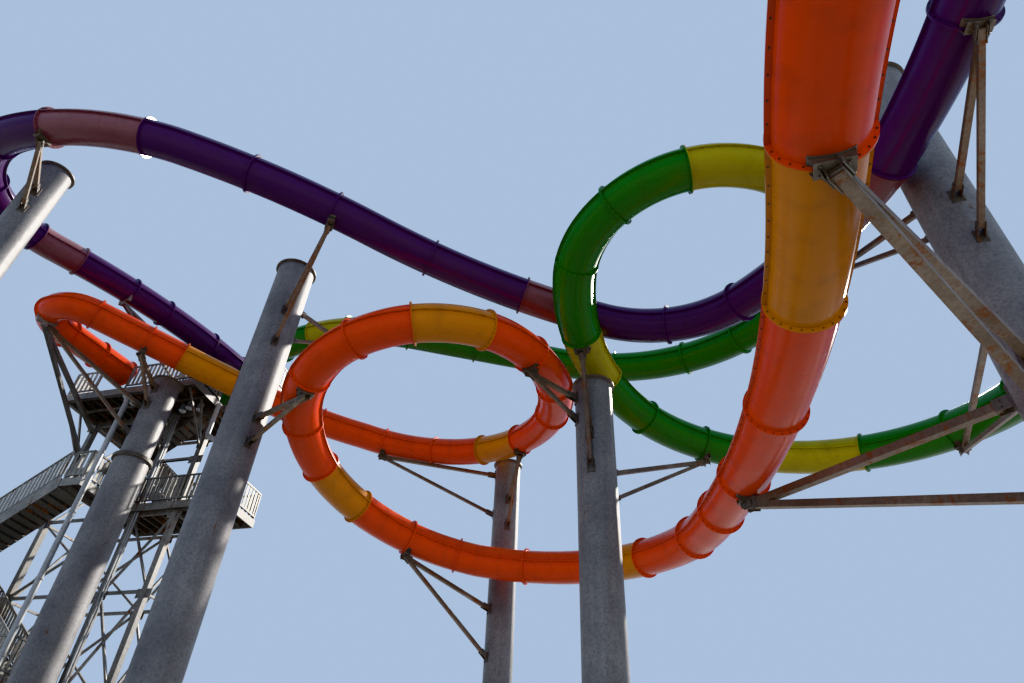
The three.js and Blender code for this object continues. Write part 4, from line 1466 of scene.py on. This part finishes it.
# %% Knee braces under the front of the deck
BRACE_SIZE = 0.075
BEAM_SIZE = 0.09
BEAM_Y = (-1.75, -0.95)
BEAM_ENDS = (-4.02, 2.02)
BEAM_DROP = 0.24
BRACE_FOOT = (-0.05, 15.2)
BRACE_DROP = 0.3
braces = bmesh.new()
for x in LEG_X:
    for y in BEAM_Y:
        head = TOWER @ Vector((x, y, LOWER - BRACE_DROP))
        add_bar(braces, TOWER @ Vector((x, *BRACE_FOOT)), head, BRACE_SIZE)
for y in BEAM_Y:
    start, end = (TOWER @ Vector((x, y, LOWER - BEAM_DROP)) for x in BEAM_ENDS)
    add_bar(braces, start, end, BEAM_SIZE)
steel_piece("knee_braces", braces, (TOWER_PAINT,))

# %% [markdown]
# ## Water pipes
# Each slide is fed by a riser that climbs the tower's front and turns in under the deck. A pipe is a line
# with rounded corners, so its tree fillets a chain of edges and sweeps a circle along it. Thin conduits run
# up the middle leg the same way, and clamps sit on all of them at an even pitch.

# %% The tree for pipes and their clamps
CLAMP_SHARE = 1.25
CLAMP_LENGTH = 0.05
ELBOW_POINTS = 6


def pipe_tree():
    tree, given = geometry_tree(
        "Pipe with clamps",
        {"Radius": "Float", "Bend": "Float", "Sides": "Int", "Clamp Pitch": "Float", "Material": "Material"},
    )
    line = node(tree, "GeometryNodeMeshToCurve", {"Mesh": given["Geometry"]}).outputs[0]
    corners = {"Curve": line, "Count": ELBOW_POINTS, "Radius": given["Bend"]}
    bent = node(tree, "GeometryNodeFilletCurve", corners, mode="POLY").outputs[0]
    pipe = swept(tree, bent, circle(tree, given["Sides"], given["Radius"]), caps=True)
    resampled = {"Curve": bent, "Length": given["Clamp Pitch"]}
    spaced = node(tree, "GeometryNodeResampleCurve", resampled, mode="LENGTH").outputs[0]
    tangent = node(tree, "GeometryNodeInputTangent").outputs[0]
    turn = node(tree, "FunctionNodeAlignRotationToVector", {"Vector": tangent}, axis="Z").outputs[0]
    wider = calculate(tree, "MULTIPLY", given["Radius"], CLAMP_SHARE)
    size = {"Vertices": given["Sides"], "Radius": wider, "Depth": CLAMP_LENGTH}
    clamp = node(tree, "GeometryNodeMeshCylinder", size).outputs["Mesh"]
    spread = {"Points": spaced, "Instance": clamp, "Rotation": turn}
    clamps = node(tree, "GeometryNodeInstanceOnPoints", spread).outputs[0]
    end_tree(tree, join(tree, pipe, clamps), given["Material"])
    return tree


PIPE = pipe_tree()

# %% Risers and conduits
FRONT_RISER = [(0.05, -2.62, 0.03), (0.05, -2.62, 16.2), (-1.15, -1.8, 16.95), (-1.15, -1.3, 16.95)]
RIGHT_RISER = [(2.95, -0.38, 0.03), (2.95, -0.38, 15.15), (2.2, -0.38, 15.6), (2.2, -0.38, 17.02)]
CONDUITS = [[(x, -0.16, 0.03), (x, -0.16, 16.9)] for x in (0.15, 0.26)]


def pipes(name, lines, radius, elbow, sides, pitch):
    settings = {"Radius": radius, "Bend": elbow, "Sides": sides, "Clamp Pitch": pitch, "Material": PIPE_PAINT}
    piece = grown(name, PIPE, chain_object(name + "_lines", tower_lines(lines)), settings)


pipes("water_risers", [FRONT_RISER, RIGHT_RISER], radius=0.095, elbow=0.22, sides=20, pitch=2.1)
pipes("leg_conduits", CONDUITS, radius=0.03, elbow=0.1, sides=10, pitch=1.2)

# %% [markdown]
# ## Ties and lamps
# Short square ties hold the risers to the landings, so that no pipe stands free. Three round lamps hang
# under the front of the deck. A lamp is turned from its profile, drawn upright and then turned over.

# %% Ties that hold the risers, and round lamps under the deck
TIE_SIZE = 0.05
TIES = [
    ((0.05, -2.62, 12.75), (-0.55, -2.4, 12.75)),
    ((0.05, -2.62, 6.3), (-0.55, -2.4, 6.3)),
    ((2.95, -0.38, 12.75), (2.95, -0.2, 12.75)),
]
LAMP = [(0.13, -0.06), (0.13, 0.0), (0.12, 0.16), (0.15, 0.18), (0.15, 0.21), (0.10, 0.26), (0.03, 0.28)]
LAMP_SPOTS = ((0.75, -0.6), (1.15, -0.72), (1.5, -0.55))
LAMP_DROP = 0.3
ties = bmesh.new()
for start, end in TIES:
    add_bar(ties, TOWER @ Vector(start), TOWER @ Vector(end), TIE_SIZE)
for x, y in LAMP_SPOTS:
    hang = Matrix.Translation((x, y, LOWER - LAMP_DROP)) @ Matrix.Rotation(math.pi, 4, "X")
    add_turned(ties, LAMP, 20, TOWER @ hang)
steel_piece("pipe_ties_and_lamps", ties, (PIPE_PAINT,))

# %% [markdown]
# ## Floor
# A plain pale floor shows where the columns stand. It isn't part of the object.
# It is a little darker than paper, because it also throws light up onto the undersides.

# %% Floor
FLOOR_HALF = 300.0
FLOOR_CORNERS = [(x * FLOOR_HALF, y * FLOOR_HALF, 0) for x, y in ((-1, -1), (1, -1), (1, 1), (-1, 1))]
floor_mesh = bpy.data.meshes.new("floor")
floor_mesh.from_pydata(FLOOR_CORNERS, [], [(0, 1, 2, 3)])
floor_paint, _, floor_shader = new_material("Pale floor")
floor_shader.inputs["Base Color"].default_value = (0.43, 0.425, 0.415, 1)
floor_shader.inputs["Roughness"].default_value = 0.9
floor_mesh.materials.append(floor_paint)
placed("floor", floor_mesh)
print("floor:", 2 * FLOOR_HALF, "m wide")

# %% [markdown]
# ## Camera
# The camera stands at eye height under the slides and looks steeply up, slightly turned about its own
# axis. Its directions are worked out from the tilt and the turn, because a wide lens that looks up makes
# upright columns lean, and only the right angles give the same lean.

# %% Camera
TILT = math.radians(40.15)
ROLL = math.radians(3.04)
LENS = 24
SENSOR = 36
EYE = Vector((-2.42, -15.95, 1.6))
FORWARD = Vector((0, math.cos(TILT), math.sin(TILT)))
LEVEL_RIGHT = Vector((1, 0, 0))
LEVEL_UP = Vector((0, -math.sin(TILT), math.cos(TILT)))
RIGHT = math.cos(ROLL) * LEVEL_RIGHT + math.sin(ROLL) * LEVEL_UP
UP = -math.sin(ROLL) * LEVEL_RIGHT + math.cos(ROLL) * LEVEL_UP
camera_data = bpy.data.cameras.new("Visitor")
camera_data.lens = LENS
camera_data.sensor_width = SENSOR
camera_data.clip_end = 1000
camera = placed("Visitor", camera_data)
camera.matrix_world = basis(RIGHT, UP, -FORWARD, EYE)
bpy.context.scene.camera = camera
print("camera at", [round(value, 2) for value in camera.location])

# %% [markdown]
# ## Light
# Even, soft light from all round shows the finishes without hard shadows. One large soft sun stands where
# the daylight comes from, high behind the slides, so that the rims of the tubes and the columns light up.
# Its direction is found from the point of the picture where the daylight is brightest.

# %% Light
FOCAL_PIXELS = 683
PICTURE_MIDDLE = (512, 341.5)
SUN_PIXEL = (952, 342)

world = bpy.data.worlds.new("Studio")
world.use_nodes = True
background = world.node_tree.nodes["Background"]
background.inputs["Color"].default_value = (0.54, 0.69, 0.92, 1)
background.inputs["Strength"].default_value = 0.82
bpy.context.scene.world = world

sun_right = (SUN_PIXEL[0] - PICTURE_MIDDLE[0]) / FOCAL_PIXELS
sun_up = (PICTURE_MIDDLE[1] - SUN_PIXEL[1]) / FOCAL_PIXELS
sun_way = FORWARD + RIGHT * sun_right + UP * sun_up
sun_light = bpy.data.lights.new("Soft sun", "SUN")
sun_light.energy = 8.5
sun_light.color = (1.0, 0.95, 0.88)
sun_light.angle = math.radians(2.5)
sun = placed("Soft sun", sun_light)
sun.rotation_euler = sun_way.to_track_quat("Z", "Y").to_euler()
bpy.context.scene.view_settings.view_transform = "Khronos PBR Neutral"
print("sun stands", round(math.degrees(math.asin(sun_way.normalized().z)), 1), "degrees high")
